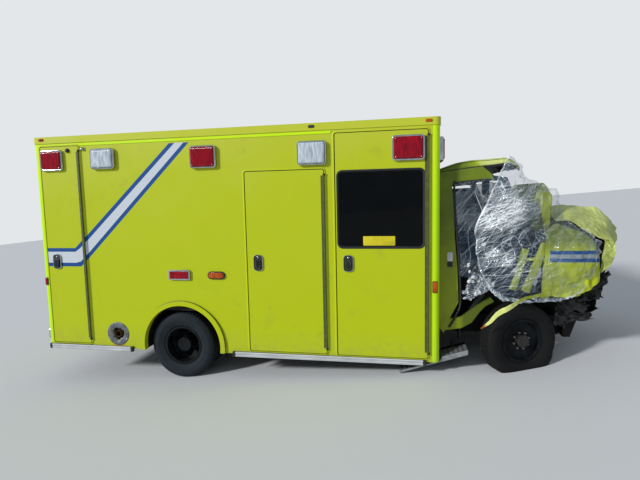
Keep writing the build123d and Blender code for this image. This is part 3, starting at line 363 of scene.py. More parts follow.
# Upper lamps
# Warning and scene lamps: a chromed zinc bezel screwed to the wall, with a pressed acrylic lens held by
# four screws. Those on a door stand on its skin, so their foot starts further out and their front stays
# level with the others.
door_proud = 0.010
lamp_deep_mm = 52


def on(side, line, out):
    """Wall points (along, up) that stand out from one side of the box, as level body points."""
    along, up = line[..., 0], line[..., 1]
    out = np.broadcast_to(out, along.shape)
    if side == "right":
        return np.stack([along, -half_width - out, up], -1)
    if side == "left":
        return np.stack([along, half_width + out, up], -1)
    if side == "front":
        return np.stack([box_front + out, along, up], -1)
    return np.stack([box_rear - out, along, up], -1)


def circle(x, z, radius, turn):
    """Circle round (x, z), one (along, up) point for each angle of turn."""
    return np.stack([x + radius * np.cos(turn), z + radius * np.sin(turn)], -1)


def rounded(x0, x1, z0, z1, radius, steps=6):
    """Rectangle with round corners: four quarter circles joined by straight runs, as (along, up) points."""
    turn = np.linspace(0, math.pi / 2, steps)
    corners = ((x1 - radius, z1 - radius), (x0 + radius, z1 - radius), (x0 + radius, z0 + radius),
               (x1 - radius, z0 + radius))
    return np.concatenate([circle(x, z, radius, turn + k * math.pi / 2) for k, (x, z) in enumerate(corners)])


def skin(points, wrap=(False, False), caps=(False, False)):
    """Quads between neighbours of a grid; wrap joins last to first, caps close the first and last rows."""
    rows, columns = points.shape[:2]
    r, c = np.meshgrid(np.arange(rows - 1 + wrap[0]), np.arange(columns - 1 + wrap[1]), indexing="ij")
    r2, c2 = (r + 1) % rows, (c + 1) % columns
    quads = np.stack([r * columns + c, r * columns + c2, r2 * columns + c2, r2 * columns + c], -1)
    faces = quads.reshape(-1, 4).tolist()
    if caps[0]:
        faces.append(list(range(columns))[::-1])
    if caps[1]:
        faces.append(list(range((rows - 1) * columns, rows * columns)))
    return points.reshape(-1, 3), faces


def put(name, body, finish, *skins, sharp=38, place=to_row, thick=None):
    """One piece out of several skins: doubles merged, faces turned outwards, edges over sharp degrees kept
    hard, and open skins given their sheet's thickness."""
    points, faces, base = [], [], 0
    for corners, polygons in skins:
        points.append(place(corners))
        faces += [[base + i for i in polygon] for polygon in polygons]
        base += len(corners)
    mesh = bpy.data.meshes.new(name)
    mesh.from_pydata(np.concatenate(points).tolist(), [], faces)
    work = bmesh.new()
    work.from_mesh(mesh)
    bmesh.ops.remove_doubles(work, verts=work.verts, dist=1e-5)
    bmesh.ops.recalc_face_normals(work, faces=work.faces)
    work.to_mesh(mesh)
    work.free()
    mesh.polygons.foreach_set("use_smooth", np.ones(len(mesh.polygons), bool))
    mesh.set_sharp_from_angle(angle=math.radians(sharp))
    mesh.materials.append(finish)
    piece = bpy.data.objects.new(name, mesh)
    scene.collection.objects.link(piece)
    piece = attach(piece, body)
    if thick:
        wall = piece.modifiers.new("thickness", "SOLIDIFY")
        wall.thickness = thick
        wall.offset = 0
    return piece


def raised(side, span, radius, profile, cap=True):
    """Rounded panel on a wall: a ring for each (inset, out) of its profile in mm, closed at the last."""
    rings = [on(side, rounded(span[0] + inset, span[1] - inset, span[2] + inset, span[3] - inset,
                              max(radius - inset, 0.003)), out)
             for inset, out in np.array(profile) / 1000]
    return skin(np.array(rings), (False, True), (False, cap))


def stud(side, along, up, base, radius, height, sides=10):
    """Round-headed screw: rings that shrink to its crown."""
    turn = np.linspace(0, 2 * math.pi, sides, endpoint=False)
    rings = [on(side, circle(along, up, radius * k, turn), base + height * h)
             for k, h in ((1, 0), (1, 0.4), (0.7, 0.85), (0.25, 1))]
    return skin(np.array(rings), (False, True), (False, True))


def lens_finish(name, deep, bright, pale):
    """Pressed acrylic lens: vertical prisms of 7 mm (900 radians a metre); its colour runs in brighter and
    darker vertical streaks as painted highlights, and the prism crests are paled as painted glints.
    """
    made, tree, surface = start(name, Coat_Weight=0.12, Coat_Roughness=0.05, Specular_IOR_Level=0.22)
    place = at_level(tree)
    split = add(tree, "ShaderNodeSeparateXYZ", {"Vector": place})
    across = sums(tree, "ADD", split.outputs[0], split.outputs[1])
    prism = sums(tree, "SINE", sums(tree, "MULTIPLY", across, 900.0))
    painted_highlight_streaks = noise(tree, add(tree, "ShaderNodeMapping", {"Vector": place, "Scale": (5, 5, 0.8)}).outputs[0],
                    90, 3)
    colour = blend(tree, ramp(tree, painted_highlight_streaks, 0.36, 0.62), deep, bright)
    # Painted glints along the prism crests.
    colour = blend(tree, ramp(tree, prism, 0.2, 1.0, 0, 0.35), colour, pale)
    tree.links.new(colour, surface.inputs["Base Color"])
    tree.links.new(ramp(tree, noise(tree, place, 60, 4), 0.3, 0.7, 0.08, 0.2), surface.inputs["Roughness"])
    relief(tree, surface, (prism, 0.8, 0.35))
    return made


red_lens = lens_finish("red_acrylic_lens", "#64000F", "#94001A", "#B00826")
clear_lens = lens_finish("clear_acrylic_lens", "#8E9AA6", "#C2CCD4", "#E6ECF0")
amber_lens = lens_finish("amber_acrylic_lens", "#8A3606", "#B4500C", "#D06A18")
# Profiles are (inset, out) pairs in millimetres, from the outline and from the wall.
bezel_profile = [(0, 0), (0, 26), (2, 34), (6, 38), (15, 38.5), (18, 36), (20, 28)]
lens_profile = [(19, 28), (19, 40), (21, 45), (26, 48.5), (38, 50.5), (60, 51.6), (100, 52)]


def lamp_skins(side, span, base_mm=0.0):
    """The bezel, lens and screws of one lamp whose foot stands base_mm out of the wall."""
    shrink = (lamp_deep_mm - base_mm) / lamp_deep_mm
    corner = 0.034
    bezel = raised(side, span, corner, [(i, base_mm + o * shrink) for i, o in bezel_profile], cap=False)
    lens = raised(side, span, corner, [(i, base_mm + o * shrink) for i, o in lens_profile])
    screws = [stud(side, x, z, (base_mm + 48.5 * shrink) / 1000, 0.0055, 0.0033)
              for x in (span[0] + corner, span[1] - corner) for z in (span[2] + corner, span[3] - corner)]
    return bezel, lens, screws


# Lamps are (side, (along from, along to, up from, up to)).
red_rows = [(side, (arch_x + 0.197, arch_x + 0.489, 2.314, 2.552)) for side in ("right", "left")]
red_rows += [("front", (y0, y0 + 0.290, 2.310, 2.550)) for y0 in (-1.080, -0.520, 0.230, 0.790)]
red_rows += [("rear", (y0, y0 + 0.260, 2.320, 2.560)) for y0 in (-1.060, 0.800)]
red_rows += [("rear", (y0, y0 + 0.220, 0.960, 1.120)) for y0 in (-1.050, 0.830)]
clear_rows = [(side, span) for side in ("right", "left")
              for span in ((arch_x - 0.976, arch_x - 0.686, 2.342, 2.569),
                           (box_front - 1.394, box_front - 1.093, 2.305, 2.548))]
entry_rows = [("right", (box_front - 0.453, box_front - 0.143, 2.319, 2.563))]
right_rear_rows = [("right", (box_rear + 0.101, box_rear + 0.384, 2.341, 2.573))]
left_rear_rows = [("left", (box_rear + 0.101, box_rear + 0.384, 2.341, 2.573))]
# Groups are (name, body that carries them, lamps, foot's height over the wall in millimetres, lens).
lamp_groups = [
    ("red_lamps", "vehicle", red_rows, 0, red_lens), ("clear_lamps", "vehicle", clear_rows, 0, clear_lens),
    ("entry_door_lamp", "entry_door", entry_rows, 10, red_lens),
    ("right_rear_door_lamp", "right_rear_compartment_door", right_rear_rows, 10, red_lens),
    ("left_rear_door_lamp", "left_rear_compartment_door", left_rear_rows, 10, red_lens),
]
for name, body, rows, base_mm, lens_kind in lamp_groups:
    made = [lamp_skins(*row, base_mm) for row in rows]
    bezels = put(name + "_bezels", body, chrome, *[row[0] for row in made],
                 *[s for row in made for s in row[2]])
    lenses = put(name + "_lenses", body, lens_kind, *[row[1] for row in made])
    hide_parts(name)
    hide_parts(name)

# Side markers
# A low red lamp in a chromed rim and an amber oval over the wheel, and small corner markers and roof edge
# markers: acrylic lenses, most of them on black rubber feet.
# Markers are (name, span, corner radius, depth in millimetres, foot's finish, lens's finish).
marker_rows = [
    ("red_marker", (arch_x - 0.120, arch_x + 0.133, 1.123, 1.236), 0.020, 30, chrome, red_lens),
    ("amber_marker", (arch_x + 0.334, arch_x + 0.530, 1.137, 1.220), 0.040, 22, rubber, amber_lens),
    ("front_corner_marker", (box_front - 0.070, box_front - 0.020, 1.030, 1.145),
     0.010, 12, rubber, amber_lens),
    ("rear_corner_marker", (box_rear + 0.022, box_rear + 0.058, 1.040, 1.130), 0.014, 12, rubber, red_lens),
]
for name, span, corner, deep, foot_finish, lens_kind in marker_rows:
    rim = 15 if deep > 25 else 11 if deep > 15 else 4
    foot = [(0, 0), (0, deep * 0.60), (2, deep * 0.76), (rim, deep * 0.78), (rim + 1, deep * 0.6)]
    face = [(rim, deep * 0.5), (rim + 1, deep * 0.85), (rim + 4, deep * 0.97), (rim + 7, deep)]
    sides = ("right", "left")
    feet = put(name + "_feet", "vehicle", foot_finish, *[raised(s, span, corner, foot) for s in sides])
    lenses = put(name + "_lenses", "vehicle", lens_kind, *[raised(s, span, corner, face) for s in sides])
    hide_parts("side_markers")
    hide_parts("side_markers")
edge_rows = [(-1.566, 2.690, red_lens), (1.533, 2.688, moulded), (2.672, 2.688, amber_lens)]
for k, (x, z, lens_kind) in enumerate(edge_rows):
    span = (x - 0.032, x + 0.032, z - 0.014, z + 0.014)
    put(f"roof_edge_marker_{k}", "vehicle", lens_kind,
        *[raised(s, span, 0.012, [(0, 7), (0, 11), (3, 14), (8, 15)]) for s in ("right", "left")])

# Door hardware
# Each box door hangs on a long piano hinge painted over in a dark olive that is painted shadow of the door's
# proud edge, with its ears on the wall, and shuts on a rubber seal. It opens by a dark nickel paddle in a
# moulded black dish with a chromed rim.
# Doors are (side, name, x from, x to, z from, z to); the hinge stands at the front edge, x to.
box_doors = [
    ("right", "right_rear_compartment_door", box_rear + 0.092, box_rear + 0.573, 0.375, 2.608),
    ("right", "right_middle_compartment_door", arch_x + 0.790, box_front - 1.132, 0.372, 2.262),
    ("right", "entry_door", box_front - 1.012, box_front - 0.116, 0.368, 2.608),
    ("left", "left_rear_compartment_door", box_rear + 0.092, box_rear + 0.573, 0.375, 2.608),
    ("left", "left_middle_compartment_door", arch_x + 0.790, box_front - 1.132, 0.372, 1.462),
    ("left", "left_front_compartment_door", box_front - 1.012, box_front - 0.116, 0.368, 2.262),
]
hinge_out = door_proud + 0.009
barrel_radius = 0.0088
handle_z = 1.318
dark_nickel = plain_finish("dark_nickel_plate", "#3A4046", "#23282C", 40, (0.2, 0.35), 0.05, metal=0.8)
# The hinge's dark olive is painted shadow of the door's proud edge.
hinge_paint = plain_finish("hinge_paint_painted_shadow", "#4E5A16", "#3B4416", 40, (0.45, 0.65), 0.1)


def unit(vectors):
    """Vectors brought to length one."""
    return vectors / np.maximum(np.linalg.norm(vectors, axis=-1, keepdims=True), 1e-9)


def tube(line, radius, sides=12):
    """Round tube along a line: circles square to its local direction, closed at both ends."""
    line = np.asarray(line, float)
    run = unit(np.gradient(line, axis=0))
    guide = np.where(np.abs(run[:, 2:3]) > 0.9, [[1.0, 0.0, 0.0]], [[0.0, 0.0, 1.0]])
    first = unit(np.cross(run, guide))
    second = np.cross(run, first)
    turn = np.linspace(0, 2 * math.pi, sides, endpoint=False)[None, :, None]
    radius = np.broadcast_to(radius, len(line)).reshape(-1, 1, 1)
    rings = line[:, None] + radius * (first[:, None] * np.cos(turn) + second[:, None] * np.sin(turn))
    return skin(rings, (False, True), (True, True))


def extruded(ring, axis, stops):
    """Ring of points pushed along an axis (0 x, 1 y, 2 z) from stop to stop, closed at both ends."""
    return skin(np.array([np.insert(ring, axis, stop, -1) for stop in stops]), (False, True), (True, True))


def flat_bar(side, span, out0, out1, soften=0.0015):
    """Flat plate on a wall with softened front edges."""
    deep = (out1 - out0) * 1000
    base = out0 * 1000
    soft = soften * 1000
    return raised(side, span, 0.004, [(0, base), (0, base + deep - soft), (soft, base + deep)])


handle_plate = [(0, 10), (0, 19), (2.5, 22), (6, 22), (9, 19.5), (30, 19.5)]
handle_lever = [(0, 19), (0, 27), (3, 30.5), (10, 31.2)]
for side, name, x0, x1, z0, z1 in box_doors:
    low, high = z0 + 0.060, z1 - 0.060
    axis = np.array([[x1 + 0.004, low], [x1 + 0.004, high]])
    barrel = tube(on(side, axis, hinge_out), barrel_radius)
    leaf = flat_bar(side, (x1 - 0.028, x1 + 0.001, low, high), door_proud, door_proud + 0.0040)
    put(name + "_hinge_leaf", name, hinge_paint, barrel, leaf)
    ears = []
    for end in (low - 0.018, high + 0.0005):
        axis = np.array([[x1 + 0.004, end], [x1 + 0.004, end + 0.0175]])
        ears.append(tube(on(side, axis, hinge_out), barrel_radius + 0.0001))
        span = (x1 + 0.004, x1 + 0.025, end, end + 0.0175)
        ears.append(flat_bar(side, span, door_proud, door_proud + 0.0040))
    put(name + "_hinge_ears", "vehicle", moulded, *ears)
    x = x0 + 0.119
    plate = raised(side, (x - 0.051, x + 0.051, handle_z - 0.085, handle_z + 0.085), 0.037, handle_plate)
    put(name + "_handle_plate", name, moulded, plate)
    ring = raised(side, (x - 0.052, x + 0.052, handle_z - 0.086, handle_z + 0.086), 0.038,
                  [(0, 10), (0, 20.5), (2, 23.5), (5, 23.5), (7, 20)], cap=False)
    lever = raised(side, (x - 0.026, x + 0.026, handle_z - 0.062, handle_z + 0.032), 0.020, handle_lever)
    put(name + "_handle_rim", name, chrome, ring, stud(side, x, handle_z + 0.058, 0.0195, 0.009, 0.004, 14))
    put(name + "_handle_paddle", name, dark_nickel, lever)
    hole = (x0 - 0.010, x1 + 0.008, z0 - 0.008, z1 + 0.008)
    seal = [rounded(hole[0] + i, hole[1] - i, hole[2] + i, hole[3] - i, 0.024 - i * 0.5)
            for i in (0.0, 0.0062)]
    rings = [on(side, seal[k], out) for k, out in ((0, -0.004), (1, -0.004), (1, -0.030), (0, -0.030))]
    put(name + "_seal", "vehicle", rubber, skin(np.array(rings), (True, True)))

# Rear doors
# Both leaves hang on the same black piano hinge along their outer edges and meet in the middle.
# Each opens by a chromed bar in a moulded black recess beside the meeting edge.
rear_axis_y = 0.708
for sign, name in ((-1, "rear_door_right"), (1, "rear_door_left")):
    axis = [[box_rear - hinge_out, sign * rear_axis_y, z] for z in (0.886, 2.360)]
    put(name + "_hinge_barrel", name, moulded, tube(axis, barrel_radius))
    inner, outer = sorted((sign * 0.058, sign * 0.152))
    plate = raised("rear", (inner, outer, 1.258, 1.402), 0.030, [(0, 0), (0, 23), (3, 25), (12, 25)])
    put(name + "_handle_plate", name, moulded, plate)
    grip = raised("rear", (inner + 0.030, outer - 0.030, 1.280, 1.380), 0.014, [(0, 24), (0, 31), (4, 34)])
    put(name + "_handle_grip", name, chrome, grip)

# Rear step and grab rails
# Pressed aluminium tread bars raised on the bumper's top, a blank white plate screwed on under the left
# lamp, and aluminium tubes bent to the wall beside the doors, each end in a round flange.
def through(points, count):
    """Smooth line through the points: each point's slope is half the step between its neighbours
    (Catmull-Rom)."""
    points = np.asarray(points, float)
    ends = np.concatenate([2 * points[:1] - points[1:2], points, 2 * points[-1:] - points[-2:-1]])
    place = np.linspace(0, len(points) - 1, count)
    k = np.minimum(place.astype(int), len(points) - 2)
    t = (place - k).reshape(-1, *[1] * (points.ndim - 1))
    a, b, c, d = (ends[k + i] for i in range(4))
    return 0.5 * (2 * b + (c - a) * t + (2 * a - 5 * b + 4 * c - d) * t ** 2 +
                  (3 * b - a - 3 * c + d) * t ** 3)


tread = plain_finish("aluminium_tread_plate", "#B4B7BA", "#8C8F92", 90, (0.3, 0.5), 0.2, metal=0.8)
bar_pitch, bumper_top = 0.033, 0.5005
bars = []
for row in range(3):
    for k in range(66):
        x, y = box_rear - 0.012 - row * 0.015, -1.075 + k * bar_pitch + (row % 2) * bar_pitch / 2
        lean = 0.005 if (k + row) % 2 else -0.005
        bars.append(tube([(x - lean, y - 0.009, bumper_top), (x + lean, y + 0.009, bumper_top)], 0.0022, 6))
put("bumper_tread_bars", "vehicle", tread, *bars)
plate_white = plain_finish("blank_white_plate", "#D6D8DA", "#C8CBCE", 80, (0.3, 0.45), 0.02)
put("blank_rear_plate", "vehicle", plate_white,
    raised("rear", (0.788, 1.092, 0.716, 0.868), 0.012, [(0, 0), (0, 2), (1, 2.8)]))
put("rear_plate_screws", "vehicle", chrome,
    *[stud("rear", y, 0.850, 0.0025, 0.006, 0.003) for y in (0.850, 1.030)])
# The rail's line as (out from the wall, height).
rail_rows = [(-0.001, 1.250), (0.030, 1.256), (0.046, 1.290), (0.048, 1.500), (0.048, 1.700), (0.046, 1.910),
             (0.030, 1.944), (-0.001, 1.950)]
for sign, name in ((-1, "right"), (1, "left")):
    y = sign * 0.990
    rail = tube(through([(box_rear - out, y, z) for out, z in rail_rows], 80), 0.014, 16)
    flanges = [stud("rear", y, z, 0.0, 0.030, 0.006, 20) for z in (1.250, 1.950)]
    put("rear_grab_rail_" + name, "vehicle", aluminium, rail, *flanges)

# Windows
# Privacy glass set in black rubber glazing strip; the entry door's pane carries a plain yellow plate.
# Panes are (door, side, span, door's face, pane's face), the faces in millimetres over the wall.
window_rows = [
    ("entry_door", "right", (box_front - 0.988, box_front - 0.151, 1.480, 2.235), 10, 0),
    ("rear_door_right", "rear", (-0.590, -0.130, 1.620, 2.180), 0, -12),
    ("rear_door_left", "rear", (0.130, 0.590, 1.620, 2.180), 0, -12),
]
for name, side, span, face, pane in window_rows:
    strip = [(12, pane - 1), (10, pane + 3), (4, face - 2), (0.5, face + 2.5), (-6, face + 4),
             (-13, face + 3), (-15, face - 0.5)]
    put(name + "_glazing_strip", name, rubber, raised(side, span, 0.045, strip, cap=False))
plate_yellow = plain_finish("yellow_vinyl_plate", "#D2C40E", "#C2B40C", 60, (0.35, 0.5), 0.03)
put("entry_window_plate", "entry_door", plate_yellow,
    raised("right", (2.036, 2.350, 1.497, 1.590), 0.006, [(0, 0), (0, 1.2), (1, 1.6)]))

# Hold-open hardware
# Each rear compartment door has a moulded rubber bumper screwed on near its top, and beside it on the wall
# stands a chromed ball stud on a small plate.
for side in ("right", "left"):
    put("door_bumper_" + side, side + "_rear_compartment_door", rubber,
        stud(side, -1.235, 2.562, door_proud, 0.024, 0.026, 16))
    put("door_catch_" + side, "vehicle", chrome, stud(side, -1.052, 2.574, 0.0, 0.020, 0.030, 16),
        flat_bar(side, (-1.074, -1.018, 2.558, 2.590), 0.0, 0.006))

# Wheel arches and lower trim
# Black rubber bead round the painted flare's outer edge, a steel housing over the wheels sprayed with
# undercoat, moulded black rail ends, ribbed aluminium rub rails, and a drip rail under the roof band.
turn = np.linspace(0, math.pi, 65)
flare_edge = 0.500
undercoat = plain_finish("sprayed_undercoat", "#060707", "#131211", 60, (0.8, 0.95), 1.2,
                         Specular_IOR_Level=0.2)
for side in ("right", "left"):
    bead = on(side, circle(arch_x, arch_z, flare_edge, turn), 0.002)
    put("flare_bead_" + side, "vehicle", rubber, tube(bead, 0.004, 8))
    ends = []
    for x0, x1 in ((box_rear + 0.062, arch_x - 0.630), (arch_x + 0.616, box_front - 0.160)):
        for x, way in ((x0, -1), (x1, 1)):
            near, far = sorted((x - way * 0.004, x + way * 0.030))
            ends.append(raised(side, (near, far, 0.2955, 0.3535), 0.006,
                               [(0, -1), (0, 24), (5, 29.5), (12, 30)]))
    put("rub_rail_ends_" + side, "vehicle", moulded, *ends)
    strip = flat_bar(side, (box_rear + 0.072, box_front - 1.050, 2.612, 2.639), 0.0002, 0.0055)
    put("drip_strip_" + side, "vehicle", post_paint, strip)
    sign = -1 if side == "right" else 1
    housing = circle(arch_x, arch_z, 0.4485, np.linspace(math.radians(-7), math.radians(187), 97))
    tunnel = np.stack([np.insert(housing, 1, sign * y, -1) for y in (1.128, 0.900, 0.590)], 1)
    put("wheel_housing_" + side, "vehicle", undercoat, skin(tunnel), thick=0.002)
    crown_rows = [(0.4505 + 0.0480 * share, 0.0122 + 0.0100 * math.sin(math.pi * share) ** 0.7)
                  for share in np.linspace(0, 1, 9)]
    rings = [on(side, circle(arch_x, arch_z, radius, turn), out) for radius, out in crown_rows]
    put("flare_moulding_" + side, "vehicle", plain_lime, skin(np.array(rings)))
rail_finish = plain_finish("ribbed_rub_rail", "#D3D6D8", "#BCC0C3", 200, (0.3, 0.5), 0.05, metal=0.2)
tree, socket, colour = painted(rail_finish)
height = add(tree, "ShaderNodeSeparateXYZ", {"Vector": at_level(tree)}).outputs[2]
# Painted shade in the grooves between the ribs: a dark line at the middle of each pitch.
rib = comb(tree, height, 0.0138)
tree.links.new(blend(tree, ramp(tree, rib, 0.16, 0.08, 0, 0.8), colour, "#4A4D50"), socket)
give("rub_rails", rail_finish)

# Running boards
# Galvanised steel grip strut with rows of round holes 46 mm apart; inboard of the cab's side it is darkened
# as painted shade under the cab.
board_finish = plain_finish("galvanised_grip_strut", "#A8ABAD", "#7F8385", 60, (0.35, 0.55), 0.3, metal=0.6)
tree, socket, colour = painted(board_finish)
split = add(tree, "ShaderNodeSeparateXYZ", {"Vector": at_level(tree)})
inboard = ramp(tree, sums(tree, "ABSOLUTE", split.outputs[1]), 0.925, 0.915)
holes = sums(tree, "MULTIPLY", ramp(tree, comb(tree, split.outputs[0], 0.046), 0.34, 0.28),
             ramp(tree, comb(tree, split.outputs[1], 0.030), 0.32, 0.24))
colour = blend(tree, sums(tree, "MULTIPLY", holes, 0.85), colour, "#1C1E20")
tree.links.new(blend(tree, inboard, colour, "#141516"), socket)
give("running_boards", board_finish)

# Exhaust outlet
# A galvanised ring riveted over the hole in the skirt, its inner lip torn open and burnt. Behind it a black
# cup surrounds the rusted pipe end.
turn = np.linspace(0, 2 * math.pi, 97)[:-1]
torn = 1 + 0.10 * np.sin(3 * turn + 1) + 0.06 * np.sin(7 * turn) + 0.03 * np.sin(17 * turn)
# The ring's section as (radius, out from the wall).
plate_rows = [(0.134, -0.001), (0.134, 0.0035), (0.131, 0.0055), (0.118, 0.0060), (0.112, 0.0075),
              (0.100, 0.0065), (0.086, 0.0050), (0.074, 0.0010), (0.066, -0.0060)]
rings = []
for k, (radius, out) in enumerate(plate_rows):
    ragged = radius * (torn if k > 6 else 1 + (torn - 1) * 0.3 * (k > 4))
    rings.append(on("right", circle(outlet_x, outlet_z, ragged, turn), out))
galvanised = plain_finish("dull_galvanised_plate", "#6E747A", "#4B4F52", 30, (0.45, 0.7), 0.25, metal=0.4)
plate = put("outlet_ring", "vehicle", galvanised, skin(np.array(rings), (False, True)))
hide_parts("exhaust_outlet_plate")
rivets = circle(outlet_x, outlet_z, 0.123, np.arange(8) * math.pi / 4 + 0.3)
put("outlet_rivets", "vehicle", chrome, *[stud("right", x, z, 0.0050, 0.0050, 0.0025) for x, z in rivets])
rings = [on("right", circle(outlet_x, outlet_z, radius, turn), out)
         for radius, out in ((0.080, -0.012), (0.080, -0.060), (0.060, -0.064), (0.034, -0.064))]
put("outlet_cup", "vehicle", chassis_black, skin(np.array(rings), (False, True)))

# Tyres
# Steel belted radials with a blocky road tread: a section profile is turned round the axle, and its tread
# is cut by four grooves and by slots across the ribs. The front pair is flat: the floor clamps the lowest
# part of each and pushes its walls outwards.
tyre_half = 0.1075
# The wall's section from rim to shoulder as (radius, distance from the tyre's middle plane).
tyre_profile = np.array([
    (0.2035, 0.068), (0.219, 0.070), (0.226, 0.086), (0.240, 0.093), (0.262, 0.1000),
    (0.2715, 0.1030), (0.2730, 0.1012), (0.2765, 0.1014), (0.2780, 0.1040), (0.2950, 0.1068),
    (0.3050, 0.1070), (0.3210, 0.1050), (0.3225, 0.1028), (0.3265, 0.1018), (0.3280, 0.1036),
    (0.336, 0.1000), (0.348, 0.0945), (0.3605, 0.0870), (0.3680, 0.0790),
])
groove_deep = 0.011
steer_rest = math.radians(22)
hub_over = front_hub_level - tyre_radius
hub_z = tyre_radius + hub_over * math.cos(nose_down) - wheelbase * math.sin(nose_down)
pin_x = wheelbase * math.cos(nose_down) + hub_over * math.sin(nose_down)


def turned_tyre(steps=300, tread_rows=33):
    """Tyre about the Y axis: rows go across its section and columns round it; grooves lower the radius."""
    across_tread = np.linspace(0.0750, -0.0750, tread_rows)
    crown = tyre_radius - 0.0020 * (across_tread / 0.075) ** 2
    radii = np.concatenate([tyre_profile[:, 0], crown, tyre_profile[::-1, 0]])
    aside = np.concatenate([tyre_profile[:, 1], across_tread, -tyre_profile[::-1, 1]])
    turn = np.arange(steps) * 2 * math.pi / steps
    radius = np.repeat(radii[:, None], steps, 1)
    side = np.repeat(aside[:, None], steps, 1)
    tread = np.abs(side) <= 0.0751
    groove = np.zeros_like(radius, bool)
    for place in (-0.0515, -0.0175, 0.0175, 0.0515):
        groove |= np.abs(side - place) < 0.0035
    rib = np.round((side + 0.069) / 0.0345)
    pitch = np.arange(steps)[None, :]
    slot = (pitch + 2 * rib.astype(int) + (np.abs(side) > 0.0515) * 1) % 5 == 0
    shoulder = (np.abs(side) > 0.078) & (radius > 0.352)
    radius = np.where(tread & (groove | slot), radius - groove_deep * np.where(groove, 1.0, 0.55), radius)
    radius = np.where(shoulder & (pitch % 5 == 0), radius - 0.006, radius)
    return np.stack([radius * np.sin(turn), side, radius * np.cos(turn)], -1)


def deflate(points, hub_height, bulge=0.020):
    """Flat tyre: everything under the floor is clamped to it, and the wall near it moves outwards."""
    height = points[..., 2] + hub_height
    near = np.clip(1 - height / 0.115, 0, 1)
    side = points[..., 1]
    out = points.copy()
    out[..., 1] = side + np.sign(side) * bulge * near * (2 - near) * np.clip(np.abs(side) / 0.08, 0, 1)
    out[..., 0] = points[..., 0] * (1 + 0.05 * near)
    out[..., 2] = np.maximum(height, 0.0015 + 0.001 * np.abs(side) / tyre_half) - hub_height
    return out


def tyre_rubber(name, fresh, dusty, share):
    """Vulcanised rubber under road dust, which lies in 45 mm blotches and thins out over a 4 mm grain."""
    made, tree, surface = start(name, Specular_IOR_Level=0.2)
    place = at_object(tree)
    dust = noise(tree, place, 45, 6, 0.7)
    fine = noise(tree, place, 4, 3)
    share_here = sums(tree, "MULTIPLY", ramp(tree, dust, 0.3, 0.7, share * 0.5, share * 1.4),
                      ramp(tree, fine, 0.2, 0.8, 0.6, 1.0))
    tree.links.new(blend(tree, share_here, fresh, dusty), surface.inputs["Base Color"])
    tree.links.new(ramp(tree, dust, 0.3, 0.7, 0.62, 0.92), surface.inputs["Roughness"])
    relief(tree, surface, (fine, 0.4, 0.4), (noise(tree, place, 18, 2), 0.6, 0.3))
    return made


rear_rubber = tyre_rubber("dusty_tyre_rubber", "#0A0E12", "#333D45", 0.42)
# The front tyres' rubber is darker and less dusty than the rear's as painted shade, since the front wheels
# stand in shadow.
front_rubber = tyre_rubber("flat_tyre_rubber_painted_shade", "#08090A", "#2C2B2A", 0.25)
round_tyre = turned_tyre()
for side, sign in (("right", -1), ("left", 1)):
    pair = [round_tyre + [0, sign * y, tyre_radius] for y in (0.730, 1.030)]
    tyres = put("rear_tyre_pair_" + side, "rear_wheels_" + side, rear_rubber,
                *[skin(p, (True, True)) for p in pair], sharp=30)
    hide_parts("rear_tyres_" + side)


def at_front(side):
    """Place function of a front wheel: from its own axes, turned to its steering angle at the kingpin."""
    sign = -1 if side == "right" else 1
    c, s = math.cos(steer_rest), math.sin(steer_rest)

    def place(points):
        x, y, z = points[..., 0], points[..., 1] + sign * 0.100, points[..., 2]
        turned = np.stack([x * c - y * s, x * s + y * c, z], -1)
        return turned + [pin_x + axle_x, sign * 0.860 - middle_y, hub_z]
    return place


flat_tyre = deflate(round_tyre, hub_z)
for side in ("right", "left"):
    tyres = put("front_tyre_flat_" + side, "front_wheel_" + side, front_rubber, skin(flat_tyre, (True, True)),
                sharp=30, place=at_front(side))
    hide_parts("front_tyre_" + side)

# Hubs and wheel nuts
# Eight zinc plated steel nuts on a circle hold each disc, rusted on the rear ones, which lie deep in their
# dish. The front hubs are greasy cast iron, pressed through the discs.
front_circle, front_disc_out = 0.0825, 0.047
rear_circle, rear_disc_out = 0.094, 0.887


def nut(x, z, out, sign, wide=0.0125, tall=0.024):
    """Hexagonal nut with a domed end, standing along Y."""
    turn = np.arange(6) * math.pi / 3
    rings = [np.insert(circle(x, z, wide * k, turn), 1, sign * (out + tall * h), -1)
             for k, h in ((1, -0.3), (1, 0.65), (0.8, 0.9), (0.3, 1.0))]
    return skin(np.array(rings), (False, True), (False, True))


def disc_of(rows, sign, sides=40):
    """Turned piece about the Y axis from (radius, out) rows, closed at its last ring."""
    turn = np.linspace(0, 2 * math.pi, sides, endpoint=False)
    rings = [np.insert(circle(0, 0, radius, turn), 1, sign * out, -1) for radius, out in rows]
    return skin(np.array(rings), (False, True), (False, True))


front_hub_rows = [(0.0630, 0.0), (0.0630, 0.049), (0.0570, 0.0535), (0.0450, 0.0545), (0.0120, 0.0555)]
hub_iron = plain_finish("greasy_cast_iron", "#0E0E0E", "#2B2622", 25, (0.35, 0.6), 0.3)
nut_zinc = plain_finish("worn_zinc_nuts", "#8E9092", "#5C544A", 12, (0.2, 0.4), 0.1, metal=0.9)
for side, sign in (("right", -1), ("left", 1)):
    turn = np.arange(8) * math.pi / 4 + 0.2
    nuts = [nut(x, z, 0.0, sign) for x, z in circle(0, 0, rear_circle, turn)]
    lift = np.array([0, sign * rear_disc_out, tyre_radius])
    put("rear_nuts_" + side, "rear_wheels_" + side, rusty, *[(p + lift, f) for p, f in nuts])
    nuts = [nut(x, z, 0.0, sign) for x, z in circle(0, 0, front_circle, turn)]
    lift = np.array([0, sign * front_disc_out, 0])
    put("front_nuts_" + side, "front_wheel_" + side, nut_zinc, *[(p + lift, f) for p, f in nuts],
        place=at_front(side))
    points, faces = disc_of(front_hub_rows, sign)
    put("front_hub_" + side, "front_wheel_" + side, hub_iron, (points + lift, faces), place=at_front(side))

